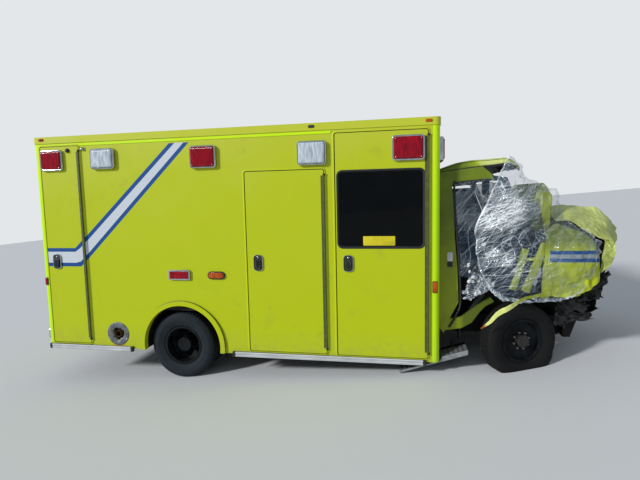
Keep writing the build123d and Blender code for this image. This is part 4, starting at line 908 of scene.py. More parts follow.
# Crushed sheet metal
# Painted steel under a millimetre thick, folded by the impact: flat facets meet in sharp creases.
# Each sheet is a dense grid through a coarse net of measured points, crumpled along its own normals.
def straight(points, count):
    """Points spread evenly over straight runs between the given ones."""
    points = np.asarray(points, float)
    place = np.linspace(0, len(points) - 1, count)
    k = np.minimum(place.astype(int), len(points) - 2)
    t = (place - k).reshape(-1, *[1] * (points.ndim - 1))
    return points[k] * (1 - t) + points[k + 1] * t


def sheet_through(net, rows, columns, along=through, over=through):
    """Dense grid through a coarse net of points, by one rule along the rows and one over the columns."""
    dense = along(np.asarray(net, float), rows)
    return over(dense.swapaxes(0, 1), columns).swapaxes(0, 1)


def normals(points):
    """Unit normals of a grid of points."""
    return unit(np.cross(np.gradient(points, axis=0), np.gradient(points, axis=1)))


def folds(points, seed, height, longest, shortest, count=16, still=None):
    """Crumple a grid along its normals: triangle waves of random direction, each as high as its length
    allows and strong only in patches; still holds parts of the grid in place (0 to 1)."""
    random = np.random.default_rng(seed)
    total = np.zeros(points.shape[:2])
    for k in range(count):
        length = longest * (shortest / longest) ** (k / (count - 1))
        way, drift = random.normal(size=3), random.normal(size=3)
        bend = 0.35 * np.sin(points @ drift * 1.3 / length + random.random() * 6)
        phase = points @ (way / np.linalg.norm(way)) / length + bend + random.random()
        wave = 2 * np.abs(2 * (phase - np.floor(phase + 0.5))) - 1
        patch = 0.5 + 0.5 * np.sin(points @ drift * 2.0 / longest + random.random() * 6)
        total += wave * patch * height * length / longest
    if still is not None:
        total *= 1 - still
    return points + normals(points) * total[..., None]


def metal(name, finish, *grids, thick=0.0022):
    """Piece of sheet metal from grids of points, a little thicker than the real sheet so that it shows."""
    return put(name, "vehicle", finish, *[skin(g) for g in grids], sharp=24, thick=thick)


def cab_paint(name, top, body, low, trim=True):
    """Fleet paint of the cab, dulled by road dirt and scuffs. With trim, painted shade darkens the sill ahead
    of the pillar and, more with height, the pillars and upper cab where the box's shadow falls; the faces
    that look inward get dark trim and the pillars in front of the doors black windscreen bonding."""
    made = fleet_paint(name, top, body, low)
    tree, socket, colour = painted(made)
    place = at_level(tree)
    dirt = sums(tree, "MULTIPLY", ramp(tree, noise(tree, place, 260, 6, 0.66), 0.46, 0.72, 0, 0.55),
                ramp(tree, noise(tree, place, 900, 2), 0.35, 0.6, 0.25, 1))
    colour = blend(tree, dirt, colour, "#5F6A1C")
    scuff = ramp(tree, noise(tree, place, 46, 6, 0.72), 0.64, 0.70, 0, 0.6)
    colour = blend(tree, scuff, colour, "#3C4132")
    if trim:
        x, y, z = add(tree, "ShaderNodeSeparateXYZ", {"Vector": place}).outputs
        # Painted shade: the sill ahead of the pillar darkens below a ragged line.
        ragged = sums(tree, "MULTIPLY_ADD", noise(tree, place, 140, 5), 0.16, z)
        painted_sill_shade = sums(tree, "MULTIPLY", ramp(tree, ragged, 1.14, 1.02, 0, 0.78), ramp(tree, x, 2.95, 3.03))
        colour = blend(tree, painted_sill_shade, colour, "#33400F")
        # Painted shade of the box's shadow: the cab turns deep green with height.
        painted_shade = sums(tree, "MULTIPLY", ramp(tree, z, 1.05, 1.75, 0.30, 0.80),
                    ramp(tree, noise(tree, place, 380, 4), 0.25, 0.6, 0.7, 1.0))
        colour = blend(tree, painted_shade, colour, "#33501A")
        inward = ramp(tree, sums(tree, "ABSOLUTE", y), 0.958, 0.954)
        screen = sums(tree, "MULTIPLY", ramp(tree, z, 1.500, 1.515),
                      ramp(tree, sums(tree, "MULTIPLY_ADD", z, 0.42, x), 4.185, 4.195))
        colour = blend(tree, sums(tree, "MAXIMUM", inward, screen), colour, "#24282C")
    tree.links.new(colour, socket)
    return made


crushed_lime = cab_paint("creased_lime_paint", "#BCC63C", "#B1BD2A", "#A9B618", trim=False)
cab_lime = cab_paint("cab_shell_paint", "#A9B42C", "#A6B226", "#A2AF1A")
give("cab_shell", cab_lime)
give("cab_door_left", cab_lime)

# Hood
# Pressed steel, its front half thrown up in a ridge, with the near flap hanging to the fender and the front
# corner folded down. Its paint is paled as painted sunlight and darkened lower down as painted shade, a black
# pressed frame lies under it, and one corner is curled.
# Rows of the net run forward, and their points go from right to left.
hood_net = [
    [(3.925, -0.780, 1.715), (3.942, -0.620, 1.735), (3.940, -0.450, 1.745),
     (3.935, 0.300, 1.745), (3.942, 0.760, 1.700)],
    [(4.052, -0.900, 1.690), (4.090, -0.700, 1.760), (4.122, -0.450, 1.806),
     (4.122, 0.300, 1.800), (4.122, 0.800, 1.640)],
    [(4.200, -0.930, 1.585), (4.260, -0.700, 1.715), (4.290, -0.450, 1.828),
     (4.290, 0.300, 1.818), (4.290, 0.820, 1.580)],
    [(4.304, -0.930, 1.512), (4.400, -0.720, 1.660), (4.452, -0.450, 1.803),
     (4.452, 0.320, 1.780), (4.452, 0.820, 1.530)],
    [(4.393, -0.925, 1.445), (4.470, -0.700, 1.560), (4.560, -0.400, 1.715),
     (4.572, 0.300, 1.680), (4.572, 0.700, 1.440)],
    [(4.430, -0.840, 1.420), (4.550, -0.600, 1.480), (4.668, -0.330, 1.610),
     (4.668, 0.200, 1.580), (4.650, 0.420, 1.450)],
]
hood_grid = sheet_through(hood_net, 110, 150, over=straight)
hood_grid = folds(hood_grid, 5, 0.016, 0.42, 0.05)
# The pale colours are painted sunlight; the dark low colour is painted shade.
hood_paint = cab_paint("hood_paint_painted_sun_and_shade", "#DCE2A8", "#D4DC94", "#8E9C30", trim=False)
hood = metal("hood_ridge", hood_paint, hood_grid)
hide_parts("hood")
inner = hood_grid[14:96, 16:134]
normal = normals(inner)
normal *= np.sign(normal[..., 2:].mean())
metal("hood_inner_frame", chassis_black, (inner - 0.016 * normal)[::2, ::2])
curl_net = [[(4.312, -0.926, 1.528), (4.300, -0.900, 1.532)],
            [(4.395, -0.930, 1.500), (4.330, -0.900, 1.510)],
            [(4.418, -0.935, 1.440), (4.330, -0.895, 1.450)],
            [(4.404, -0.935, 1.350), (4.316, -0.895, 1.370)],
            [(4.370, -0.930, 1.270), (4.310, -0.900, 1.290)],
            [(4.300, -0.920, 1.205), (4.296, -0.905, 1.215)]]
curl_grid = folds(sheet_through(curl_net, 70, 22), 9, 0.008, 0.16, 0.03)
metal("hood_corner_curl", hood_paint, curl_grid)

# Hood's rear half, cowl and door posts
# The painted steel leaf stands upright over the cowl with rounded edges. Under it are the moulded cowl
# panel, the dash shelf, the right door's bent posts, and the hinge posts with the left door's hinge ears.
# Rows of the leaf are (height, rear, front, half width), x from the front axle.
leaf_rows = [(1.556, 0.330, 0.376, 0.740), (1.640, 0.316, 0.374, 0.752), (1.720, 0.300, 0.378, 0.760),
             (1.820, 0.290, 0.388, 0.764), (1.900, 0.284, 0.388, 0.762), (1.980, 0.292, 0.376, 0.745),
             (2.040, 0.302, 0.356, 0.712), (2.075, 0.314, 0.340, 0.640), (2.083, 0.322, 0.330, 0.560)]
leaf_rings = []
for z, rear, front, half in through(leaf_rows, 60):
    ring = straight([(rear, -half + 0.02), (rear + 0.012, -half), (front - 0.012, -half),
                     (front, -half + 0.02), (front, 0), (front, half - 0.02), (front - 0.012, half),
                     (rear + 0.012, half), (rear, half - 0.02), (rear, 0), (rear, -half + 0.02)], 120)[:-1]
    leaf_rings.append(np.insert(ring + [wheelbase, 0], 2, z, -1))
leaf_grid = folds(np.array(leaf_rings), 14, 0.010, 0.35, 0.05)
leaf = put("hood_rear_leaf", "vehicle", crushed_lime, skin(leaf_grid, (False, True), (True, True)), sharp=24)
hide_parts("folded_cowl")
cowl_rows = [(0.340, 1.564), (0.318, 1.556), (0.300, 1.420), (0.280, 1.300), (0.278, 1.250), (0.327, 1.250),
             (0.345, 1.330), (0.366, 1.440), (0.388, 1.545), (0.372, 1.564)]
cowl_ring = straight([(wheelbase + x, z) for x, z in cowl_rows], 60)
across = np.linspace(-0.800, 0.800, 80)
cowl_grid = np.stack(np.broadcast_arrays(cowl_ring[None, :, 0], across[:, None], cowl_ring[None, :, 1]), -1)
cowl_grid = folds(cowl_grid, 15, 0.012, 0.3, 0.05)
cowl = put("cowl_panel", "vehicle", moulded, skin(cowl_grid, (False, True), (True, True)), sharp=24)
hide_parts("folded_cowl")
shelf = np.stack(np.meshgrid(np.linspace(3.563, 3.835, 24), np.linspace(-0.800, 0.800, 72), indexing="ij") +
                 [np.full((24, 72), 1.412)], -1)
metal("dash_shelf", moulded, folds(shelf, 16, 0.012, 0.3, 0.05))


def bar(line, wide, thick, seed, height=0.004):
    """Bent rectangular member: a ring of four rounded corners carried along a line of (x, y, z) points."""
    line = through(line, 40)
    side = np.array([0.0, 1.0, 0.0])
    cross = np.cross(unit(np.gradient(line, axis=0)), side)
    ring = rounded(-wide / 2, wide / 2, -thick / 2, thick / 2, min(wide, thick) * 0.22, 4)
    points = line[:, None] + ring[None, :, :1] * cross[:, None] + ring[None, :, 1:] * side
    return skin(folds(points, seed, height, 0.15, 0.04), (False, True), (True, True))


pillar_rows = [
    ([(3.500, -0.935, 1.028), (3.535, -0.938, 1.150), (3.575, -0.934, 1.290), (3.614, -0.930, 1.436)],
     0.064, 0.042),
    ([(3.616, -0.940, 1.010), (3.675, -0.942, 1.180), (3.740, -0.936, 1.350), (3.812, -0.930, 1.532)],
     0.074, 0.044),
    ([(3.560, -0.930, 1.318), (3.640, -0.928, 1.330), (3.780, -0.926, 1.338)], 0.038, 0.026),
]
pillars = put("bent_door_pillars", "vehicle", crushed_lime,
              *[bar(line, wide, thick, 21 + k) for k, (line, wide, thick) in enumerate(pillar_rows)],
              sharp=30)
post_rows = [
    ([(3.808, 0.917, 0.942), (3.807, 0.917, 1.140), (3.806, 0.915, 1.340), (3.808, 0.914, 1.534)],
     0.060, 0.060, 24),
    ([(3.812, 0.893, 1.330), (3.816, 0.850, 1.330), (3.816, 0.792, 1.328)], 0.040, 0.120, 26),
]
posts = put("hinge_posts", "vehicle", crushed_lime,
            *[bar([(x, s * y, z) for x, y, z in line], wide, thick, seed + s, 0.003)
              for line, wide, thick, seed in post_rows for s in (-1, 1)], sharp=30)
ears = []
for low in (1.010, 1.360):
    x, y = wheelbase + 0.258, 0.983
    ears.append(tube([(x, y, low - 0.0035), (x, y, low + 0.0835)], 0.005, 16))
    for z in (low - 0.009, low + 0.089):
        ears.append(tube([(x, y, z - 0.008), (x, y, z + 0.008)], 0.009, 20))
        ears.append(extruded(rounded(x, 3.800, 0.946, 0.9885, 0.004, 3), 2, (z - 0.008, z + 0.008)))
hinge_ears = put("cab_hinge_ears", "vehicle", chassis_black, *ears)
for piece in (pillars, posts, hinge_ears):
    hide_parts("folded_cowl")

# Fenders
# Pressed steel with the blue and white band through the middle; the front edge is pushed in behind the curl.
# From the right one's wheel arch a torn strip of lip hangs back, its end rusted. Black liners lie inside.
stripe_low = 1.312
stripe_high = 1.424


def fender_paint():
    """Fleet paint with a level white band between two blue lines on the outer face."""
    made = cab_paint("banded_fender_paint", "#B7C238", "#AEBB26", "#B4C01C", trim=False)
    tree, socket, colour = painted(made)
    x, y, z = add(tree, "ShaderNodeSeparateXYZ", {"Vector": at_level(tree)}).outputs
    # Painted shade under the hood: the fender's top darkens towards olive.
    colour = blend(tree, ramp(tree, z, 1.40, 1.52, 0, 0.75), colour, "#5E6C2E")
    spread = sums(tree, "MULTIPLY", ramp(tree, sums(tree, "ABSOLUTE", y), 1.12, 1.20), 0.85)
    colour = blend(tree, spread, colour, "#DCE08A")
    torn_end = sums(tree, "MULTIPLY_ADD", noise(tree, at_level(tree), 20, 4), 0.06, x)
    colour = blend(tree, ramp(tree, torn_end, 3.235, 3.205), colour, "#A24A16")
    edge = 0.0025
    band = sums(tree, "MULTIPLY", ramp(tree, z, stripe_low - edge, stripe_low + edge),
                ramp(tree, z, stripe_high + edge, stripe_high - edge))
    band = sums(tree, "MULTIPLY", band, sums(tree, "MULTIPLY", ramp(tree, x, 3.822, 3.828),
                                            ramp(tree, sums(tree, "ABSOLUTE", y), 0.890, 0.900)))
    blue = 0.036
    white = sums(tree, "MULTIPLY", ramp(tree, z, stripe_low + blue - edge, stripe_low + blue + edge),
                 ramp(tree, z, stripe_high - blue + edge, stripe_high - blue - edge))
    tape = blend(tree, white, "#004486", "#8E9A9E")
    tree.links.new(blend(tree, band, colour, tape), socket)
    return made


banded = fender_paint()
# Rows are (x from the front axle, pushed in, bottom, top, flange's reach from the cab's side).
fender_rows = [(0.270, 0.000, 0.990, 1.572, 0.120), (0.370, 0.002, 0.978, 1.640, 0.140),
               (0.448, 0.000, 0.975, 1.655, 0.150), (0.560, -0.002, 0.995, 1.620, 0.150),
               (0.640, 0.004, 1.035, 1.575, 0.150), (0.735, 0.020, 1.100, 1.490, 0.120),
               (0.775, 0.070, 1.150, 1.430, 0.130)]


def fender_net(sign):
    """Rows along the vehicle; columns run under the lip, up the outer face and over the flange."""
    net = []
    for x, pushed, bottom, top, flange in fender_rows:
        out = cab_half - 0.002 - pushed
        profile = [(out - 0.030, bottom + 0.012), (out - 0.004, bottom), (out, bottom + 0.018),
                   (out, bottom * 0.66 + top * 0.34), (out - 0.004, bottom * 0.33 + top * 0.67),
                   (out - 0.014, top - 0.040), (out - 0.050, top), (cab_half - flange, top + 0.010)]
        net.append([(wheelbase + x, sign * y, z) for y, z in profile])
    return net


for side, sign, seed in (("right", -1, 31), ("left", 1, 32)):
    grid = folds(sheet_through(fender_net(sign), 90, 110), seed, 0.012, 0.32, 0.045)
    skins = [grid]
    if side == "right":
        strip_line = np.array([(3.148, -1.2545, 0.712), (3.190, -1.2550, 0.742), (3.235, -1.2548, 0.782),
                               (3.288, -1.2550, 0.846), (3.330, -1.2548, 0.880), (3.385, -1.2520, 0.908),
                               (3.450, -1.2150, 0.938), (3.530, -1.1300, 0.962), (3.620, -1.0500, 0.975),
                               (3.720, -1.0000, 0.985), (3.800, -0.9840, 1.000), (3.840, -0.9830, 1.010)])
        strip_half = np.array([0.004, 0.011, 0.016, 0.021, 0.024, 0.024,
                               0.020, 0.016, 0.014, 0.018, 0.028, 0.034])
        line = through(strip_line, 150)
        half = through(strip_half[:, None], 150)
        run = unit(np.gradient(line[:, [0, 2]], axis=0))
        lift = np.stack([-run[:, 1], np.zeros(150), run[:, 0]], -1)
        strip = line[:, None] + np.linspace(-1, 1, 16)[None, :, None] * half[:, None] * lift[:, None]
        skins.append(folds(strip, 33, 0.0022, 0.10, 0.03))
    fender = metal("fender_skin_" + side, banded, *skins)
    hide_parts("fender_" + side)
liners = []
for sign in (-1, 1):
    net = [[(3.735 + 0.05 * k, sign * 0.900, 0.950 + 0.02 * k),
            (3.80 + 0.1 * k, sign * 0.760, 1.060 + 0.03 * k),
            (3.82 + 0.12 * k, sign * 0.560, 1.080)] for k in range(4)]
    liners.append(folds(sheet_through(net, 40, 40), 40 + sign, 0.014, 0.2, 0.04))
metal("wheel_arch_liners", moulded, *liners)

# Broken front end
# Torn plastic and sheet of the lamp housing, grille and splash shields, jammed round the radiator support.
def shard(middle, along, up, length, wide, seed):
    """Torn scrap: a strip in the plane of two directions with ragged edges, crumpled."""
    random = np.random.default_rng(seed)
    along = unit(np.array(along, float))
    up = unit(np.array(up, float) - along * (np.array(up, float) @ along))
    rows, columns = 28, 22
    u, v = np.linspace(-0.5, 0.5, rows)[:, None, None], np.linspace(-0.5, 0.5, columns)[:, None]
    ragged = np.interp(np.linspace(0, 1, rows), np.linspace(0, 1, 9), random.uniform(0.55, 1.0, 9))
    torn = np.interp(np.linspace(0, 1, columns), np.linspace(0, 1, 8), random.uniform(0.65, 1.0, 8))
    grid = np.array(middle) + u * length * torn[:, None] * along + v * wide * ragged[:, None, None] * up
    return folds(grid, seed, 0.022, 0.25, 0.04)


# Scraps are (middle, along, up, length, width).
scraps = [
    ((4.330, -0.700, 1.180), (1, 0.3, -0.5), (0.2, 0.2, 1), 0.26, 0.20),
    ((4.380, -0.660, 1.040), (0.4, 0.2, 1), (1, 0, 0.2), 0.34, 0.15),
    ((4.250, -0.720, 0.960), (1, 0, 0.4), (0, 0.3, 1), 0.34, 0.20),
    ((4.120, -0.730, 0.850), (1, 0.2, -0.2), (0, 0.2, 1), 0.34, 0.18),
    ((4.200, -0.640, 0.700), (1, 0.3, 0.1), (0, 0.5, 1), 0.36, 0.14),
    ((4.020, -0.700, 0.720), (0.3, 0.3, 1), (1, 0.3, 0), 0.28, 0.16),
    ((4.330, -0.560, 0.820), (0.3, 1, 0.4), (1, 0, 0.7), 0.40, 0.22),
    ((4.360, -0.300, 0.900), (0.2, 1, 0.1), (0.8, 0, 1), 0.60, 0.30),
    ((4.340, 0.250, 0.860), (0.2, 1, -0.15), (0.8, 0, 1), 0.70, 0.34),
    ((4.420, 0.000, 1.120), (0.1, 1, 0.1), (1, 0, 0.6), 0.80, 0.16),
    ((4.380, 0.560, 1.000), (0.3, 0.4, 1), (1, 0.5, 0), 0.36, 0.20),
    ((4.300, 0.640, 0.800), (1, 0.3, 0.4), (0, 0.3, 1), 0.32, 0.22),
    ((4.150, 0.660, 0.700), (1, 0.2, -0.2), (0, 0.3, 1), 0.34, 0.18),
    ((4.080, -0.760, 1.000), (1, 0.1, 0.2), (0.1, 0.3, 1), 0.24, 0.22),
]
metal("torn_front_plastic", moulded, *[shard(*row, 100 + k) for k, row in enumerate(scraps)])
core_rows = np.linspace(0, 1, 50)[:, None]
core_across = np.linspace(-0.530, 0.530, 220)[None, :]
fin = 0.0035 * np.sign(np.sin(core_across * 2 * math.pi / 0.016))
core_x = 4.166 + 0.214 * core_rows + fin + 0.03 * np.sin(core_across * 7 + 1) * core_rows
core_grid = np.stack(np.broadcast_arrays(core_x, core_across, 0.530 + 0.675 * core_rows), -1)
fins = plain_finish("bent_radiator_fins", "#3B3D3F", "#55524C", 40, (0.45, 0.7), 0.4, metal=0.5)
metal("radiator_core_face", fins, folds(core_grid, 61, 0.018, 0.30, 0.05))
give("radiator_support", chassis_black)

# Inner aprons
# Black painted sheet between each fender and the engine, buckled under the hood.
apron_net = [[(3.850, 0.930), (3.850, 1.200), (3.850, 1.480), (3.850, 1.600)],
             [(4.000, 0.930), (4.000, 1.200), (4.000, 1.480), (4.000, 1.640)],
             [(4.150, 0.960), (4.160, 1.200), (4.160, 1.480), (4.160, 1.660)],
             [(4.300, 1.020), (4.310, 1.230), (4.320, 1.460), (4.320, 1.640)],
             [(4.395, 1.080), (4.410, 1.260), (4.420, 1.420), (4.420, 1.560)]]
aprons = []
for sign in (-1, 1):
    net = [[(x, sign * (0.700 + 0.10 * math.sin(3 * x)), z) for x, z in row] for row in apron_net]
    aprons.append(folds(sheet_through(net, 44, 44), 80 + sign, 0.030, 0.35, 0.05))
metal("inner_aprons", chassis_black, *aprons)

# Cab roof
# Pressed steel with its edge rolled down over the drip rail; torn off the windscreen, its front is bent up.
# Rows are (x from the front axle, drip rail's height, top's height at the side, crown, half width).
roof_rows = [(-0.732, 2.206, 2.238, 0.016, 0.955), (-0.653, 2.212, 2.264, 0.022, 0.956),
             (-0.529, 2.226, 2.298, 0.030, 0.956), (-0.388, 2.243, 2.314, 0.040, 0.956),
             (-0.248, 2.258, 2.322, 0.040, 0.955), (-0.156, 2.268, 2.329, 0.034, 0.954),
             (-0.082, 2.272, 2.326, 0.030, 0.950), (-0.036, 2.264, 2.304, 0.026, 0.944),
             (0.010, 2.232, 2.262, 0.020, 0.935), (0.030, 2.214, 2.232, 0.016, 0.930)]
roof_net = []
for x, edge, top, crown, half in roof_rows:
    profile = [(-half - 0.006, edge), (-half - 0.010, edge * 0.6 + top * 0.4), (-half + 0.006, top - 0.010),
               (-half + 0.030, top)]
    middle = [(share * half, top + crown * (1 - share * share)) for share in (-0.6, -0.3, 0, 0.3, 0.6)]
    section = [*profile, *middle, *[(-y, z) for y, z in profile[::-1]]]
    roof_net.append([(wheelbase + x, y, z) for y, z in section])
roof_grid = sheet_through(roof_net, 78, 160)
front_share = np.clip((roof_grid[..., 0] - 3.30) / 0.25, 0, 1)
roof_grid = folds(roof_grid, 51, 0.016, 0.4, 0.05, still=1 - (0.12 + 0.88 * front_share))
roof_finish = cab_paint("roof_paint_painted_shade_and_sun", "#BCC63C", "#B1BD2A", "#A9B618", trim=False)
tree, socket, colour = painted(roof_finish)
place = at_level(tree)
split = add(tree, "ShaderNodeSeparateXYZ", {"Vector": place})
# Painted shade of the box's shadow darkens the roof behind about x 3.2, most on its rolled side; painted
# sunlight pales its torn front.
reach = sums(tree, "MULTIPLY_ADD", noise(tree, place, 160, 5), 0.20, split.outputs[0])
side_face = ramp(tree, split.outputs[2], 2.345, 2.300, 0.35, 1.0)
painted_shade = sums(tree, "MULTIPLY", ramp(tree, reach, 3.28, 3.14, 0, 0.80), side_face)
colour = blend(tree, painted_shade, colour, "#3C5A1C")
tree.links.new(blend(tree, ramp(tree, reach, 3.22, 3.32, 0, 0.75), colour, "#CDD48C"), socket)
roof = metal("cab_roof_skin", roof_finish, roof_grid)
metal("cab_roof_lining", moulded, roof_grid[::3, ::4] - [0, 0, 0.022])
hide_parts("cab_roof")

# Cab door openings
# On the right a black rubber weatherstrip follows the pillar's edge, and the latch striker is a bright
# plate with a black buffer under it. The left door has a moulded grip in its recess and a chromed lock.
cab_in = cab_half - half_width
opening = through([(2.880, -0.990, 0.640), (2.945, -0.990, 0.760), (2.990, -0.990, 0.905),
                   (2.976, -0.990, 1.250), (2.942, -0.990, 1.700), (2.921, -0.990, 2.070),
                   (2.960, -0.990, 2.100), (3.260, -0.990, 2.122)], 90)
put("door_opening_strip", "vehicle", rubber, tube(opening + [0.004, 0, 0], 0.012, 10))


def cab_plate(x0, x1, z0, z1, out0, out1):
    """Small plate on the cab's right side with softened edges."""
    low, high = (cab_in + out0) * 1000, (cab_in + out1) * 1000
    return raised("right", (x0, x1, z0, z1), 0.006, [(0, low), (0, high - 1.5), (1.5, high)])


recess_rows = [(0, -1), (0, 5), (3, 7), (9, 6), (14, 2), (30, 1)]
grip_rows = [(0, 2), (0, 15), (4, 20), (12, 21)]
for name, span, corner, rows in (("recess", (3.030, 3.190, 1.238, 1.332), 0.030, recess_rows),
                                 ("grip", (3.042, 3.178, 1.276, 1.318), 0.016, grip_rows)):
    put("cab_door_handle_" + name, "cab_door_left", moulded,
        raised("left", span, corner, [(inset, cab_in * 1000 + out) for inset, out in rows]))
put("cab_door_lock", "cab_door_left", chrome, stud("left", 3.060, 1.205, cab_in, 0.011, 0.004, 16))
put("latch_striker", "vehicle", aluminium, cab_plate(2.862, 2.916, 1.318, 1.408, 0.0, 0.006),
    cab_plate(2.880, 2.898, 1.340, 1.386, 0.005, 0.022))
put("latch_buffer", "vehicle", rubber, cab_plate(2.864, 2.914, 1.262, 1.310, 0.0, 0.012))

# Plastic film
# Clear polyethylene sheeting wrapped round the open side of the cab: crumpled into bright creases, bunched
# at its lower rear corner, rolled up along its bottom, and stretched thinly over the doorway.
# The wrap's outline as (x, z, y), read from the photo.
film_edge = np.array([
    (3.426, 2.330, -0.985), (3.409, 2.300, -1.000), (3.322, 2.114, -1.010), (3.251, 1.973, -1.030),
    (3.135, 1.684, -1.040), (3.129, 1.390, -1.050), (3.180, 1.200, -1.060), (3.330, 1.010, -1.080),
    (3.405, 0.960, -1.090), (3.560, 0.948, -1.080), (3.730, 0.950, -1.060), (3.902, 0.956, -1.040),
    (4.050, 0.995, -1.025), (4.150, 1.080, -1.015), (4.240, 1.251, -1.010), (4.259, 1.440, -1.000),
    (4.142, 1.609, -1.000), (4.020, 1.735, -0.960), (3.921, 1.850, -0.880), (3.860, 1.980, -0.820),
    (3.800, 2.075, -0.810), (3.720, 2.110, -0.840), (3.609, 2.180, -0.900), (3.520, 2.280, -0.950),
])
film_middle = np.array([3.640, 1.520, -1.115])
film_cells = 290


def loop_fill(edge, middle, cells, swell):
    """Grid inside a closed loop: square rings round the middle, each a shrunken copy of the loop; the way
    from middle to edge follows share to the power swell, so the sheet bellies out."""
    turns = 8 * cells
    loop = through(np.concatenate([edge, edge[:1]]), turns + 1)[:-1]
    a, b = np.meshgrid(np.linspace(-1, 1, cells), np.linspace(-1, 1, cells), indexing="ij")
    share = np.maximum(np.abs(a), np.abs(b))
    angle = np.arctan2(b, a)
    edge_angle = np.unwrap(np.arctan2(loop[:, 1] - middle[1], loop[:, 0] - middle[0]))
    order = np.argsort(edge_angle % (2 * math.pi))
    known = (edge_angle % (2 * math.pi))[order]
    find = [np.interp(angle % (2 * math.pi), known, loop[order, k], period=2 * math.pi) for k in range(3)]
    x = middle[0] + (find[0] - middle[0]) * share
    z = middle[1] + (find[1] - middle[1]) * share
    y = middle[2] + (find[2] - middle[2]) * share ** swell
    return np.stack([x, y, z], -1), share


def creases(points, seed, height, longest, shortest, count, lean=None, spread=0.5):
    """Crumple film: folds whose sharp ridges are returned too, as a line strength from 0 to 1. Each fold is
    a triangle wave, bent by a slow sine and fading in and out, with its ridge where the wave turns. The
    ridges run near lean, an angle up from forward, in about spread radians, or every way without one."""
    random = np.random.default_rng(seed)
    total, line = np.zeros(points.shape[:2]), np.zeros(points.shape[:2])
    for k in range(count):
        length = longest * (shortest / longest) ** (k / (count - 1))
        way, drift = random.normal(size=3) * [1, 0.2, 1], random.normal(size=3)
        if lean is not None and k % 4:
            angle = lean + spread * random.normal() + math.pi / 2
            way = np.array([math.cos(angle), 0.15 * random.normal(), math.sin(angle)])
        bend = 0.30 * np.sin(points @ drift * 1.6 / length + random.random() * 6)
        phase = points @ (way / np.linalg.norm(way)) / length + bend + random.random()
        wave = 2 * np.abs(2 * (phase - np.floor(phase + 0.5))) - 1
        patch = np.sin(points @ random.normal(size=3) * 2.2 / (length * 2.4) + random.random() * 6)
        patch = np.clip(patch * 1.5 - 0.25, 0, 1)
        total += wave * patch * height * length / longest
        near = (1 - np.abs(wave)) * length / 4
        ridge = np.clip(1 - near / (0.0022 + 0.012 * length), 0, 1)
        line = np.maximum(line, patch * random.uniform(0.3, 1) * ridge)
    return points + normals(points) * total[..., None], line


def clear_film(name, haze, glint):
    """Polyethylene film: milky by its own haze attribute, white along its creases as painted glint, brighter
    seen edge on.
    """
    made, tree, surface = start(name, Specular_IOR_Level=0.45, Coat_Weight=0.2, Coat_Roughness=0.06)
    place = at_object(tree)
    stored = add(tree, "ShaderNodeAttribute", attribute_name="creases").outputs["Color"]
    crease, cloud = add(tree, "ShaderNodeSeparateColor", {"Color": stored}).outputs[:2]
    edge_on = add(tree, "ShaderNodeLayerWeight", {"Blend": 0.4}).outputs["Facing"]
    fine = sums(tree, "ABSOLUTE", sums(tree, "SUBTRACT", noise(tree, place, 90, 3, 0.5), 0.5))
    fine = ramp(tree, fine, 0.010, 0.0, 0, 0.35)
    streak = sums(tree, "MAXIMUM", crease, sums(tree, "MULTIPLY", fine, cloud))
    base = sums(tree, "MULTIPLY", ramp(tree, noise(tree, place, 190, 4), 0.32, 0.68, 0.55, 1.35),
                sums(tree, "MULTIPLY_ADD", cloud, haze * 0.4, haze * 0.6))
    milk = sums(tree, "MULTIPLY_ADD", ramp(tree, edge_on, 0.30, 0.95, 0, 0.30), 1.0,
                sums(tree, "MULTIPLY_ADD", cloud, haze * 0.5, base))
    alpha = sums(tree, "MINIMUM", sums(tree, "MULTIPLY_ADD", streak, glint, milk), 0.97)
    made.surface_render_method = "DITHERED"
    tree.links.new(alpha, surface.inputs["Alpha"])
    tree.links.new(blend(tree, ramp(tree, streak, 0.05, 0.6), "#48647C", "#EEF3F6"),
                   surface.inputs["Base Color"])
    tree.links.new(ramp(tree, noise(tree, place, 80, 3), 0.3, 0.7, 0.06, 0.20), surface.inputs["Roughness"])
    relief(tree, surface, (noise(tree, place, 34, 4), 3.0, 0.5), (noise(tree, place, 12, 3), 1.0, 0.4))
    return made


def film_piece(name, finish, grid, line, cloud, wrap=(False, False)):
    """Film from a grid with its crease strength and its milkiness stored on the mesh."""
    points, faces = skin(grid, wrap)
    mesh = bpy.data.meshes.new(name)
    mesh.from_pydata(to_row(points).tolist(), [], faces)
    mesh.shade_smooth()
    marks = mesh.color_attributes.new("creases", "FLOAT_COLOR", "POINT")
    values = np.ones((len(points), 4))
    values[:, 0], values[:, 1], values[:, 2] = line.ravel(), cloud.ravel(), 0
    marks.data.foreach_set("color", values.ravel())
    mesh.materials.append(finish)
    piece = bpy.data.objects.new(name, mesh)
    scene.collection.objects.link(piece)
    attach(piece, "vehicle")
    return piece


film_grid, film_share = loop_fill(film_edge, film_middle, film_cells, 3.0)
film_x, film_z = film_grid[..., 0], film_grid[..., 2]
busy = np.clip((3.78 - film_x) / 0.45, 0, 1) * np.clip((film_z - 0.95) / 0.3, 0.25, 1)
busy *= 0.62 + 0.38 * np.sin(film_x * 9.0 + film_z * 11.0) * np.sin(film_z * 7.0 - 1.0)
film_grid, film_line = creases(film_grid, 71, 0.030, 0.50, 0.045, 30, math.radians(28), 0.45)
film_grid[..., 1] = np.maximum(film_grid[..., 1], -1.155)
rim = np.clip((film_share - 0.965) / 0.035, 0, 1)
# Painted glare: facets that face up and back, towards the lamp, are whitened.
slope = normals(film_grid)
slope *= -np.sign(slope[..., 1:2])
sunward_glare = np.clip((slope @ np.array([-0.55, 0, 0.83]) - 0.22) * 5.0, 0, 1)
film_line = np.clip(film_line * (0.42 + 0.46 * busy) + 0.35 * rim + 0.10 * sunward_glare * busy, 0, 1)
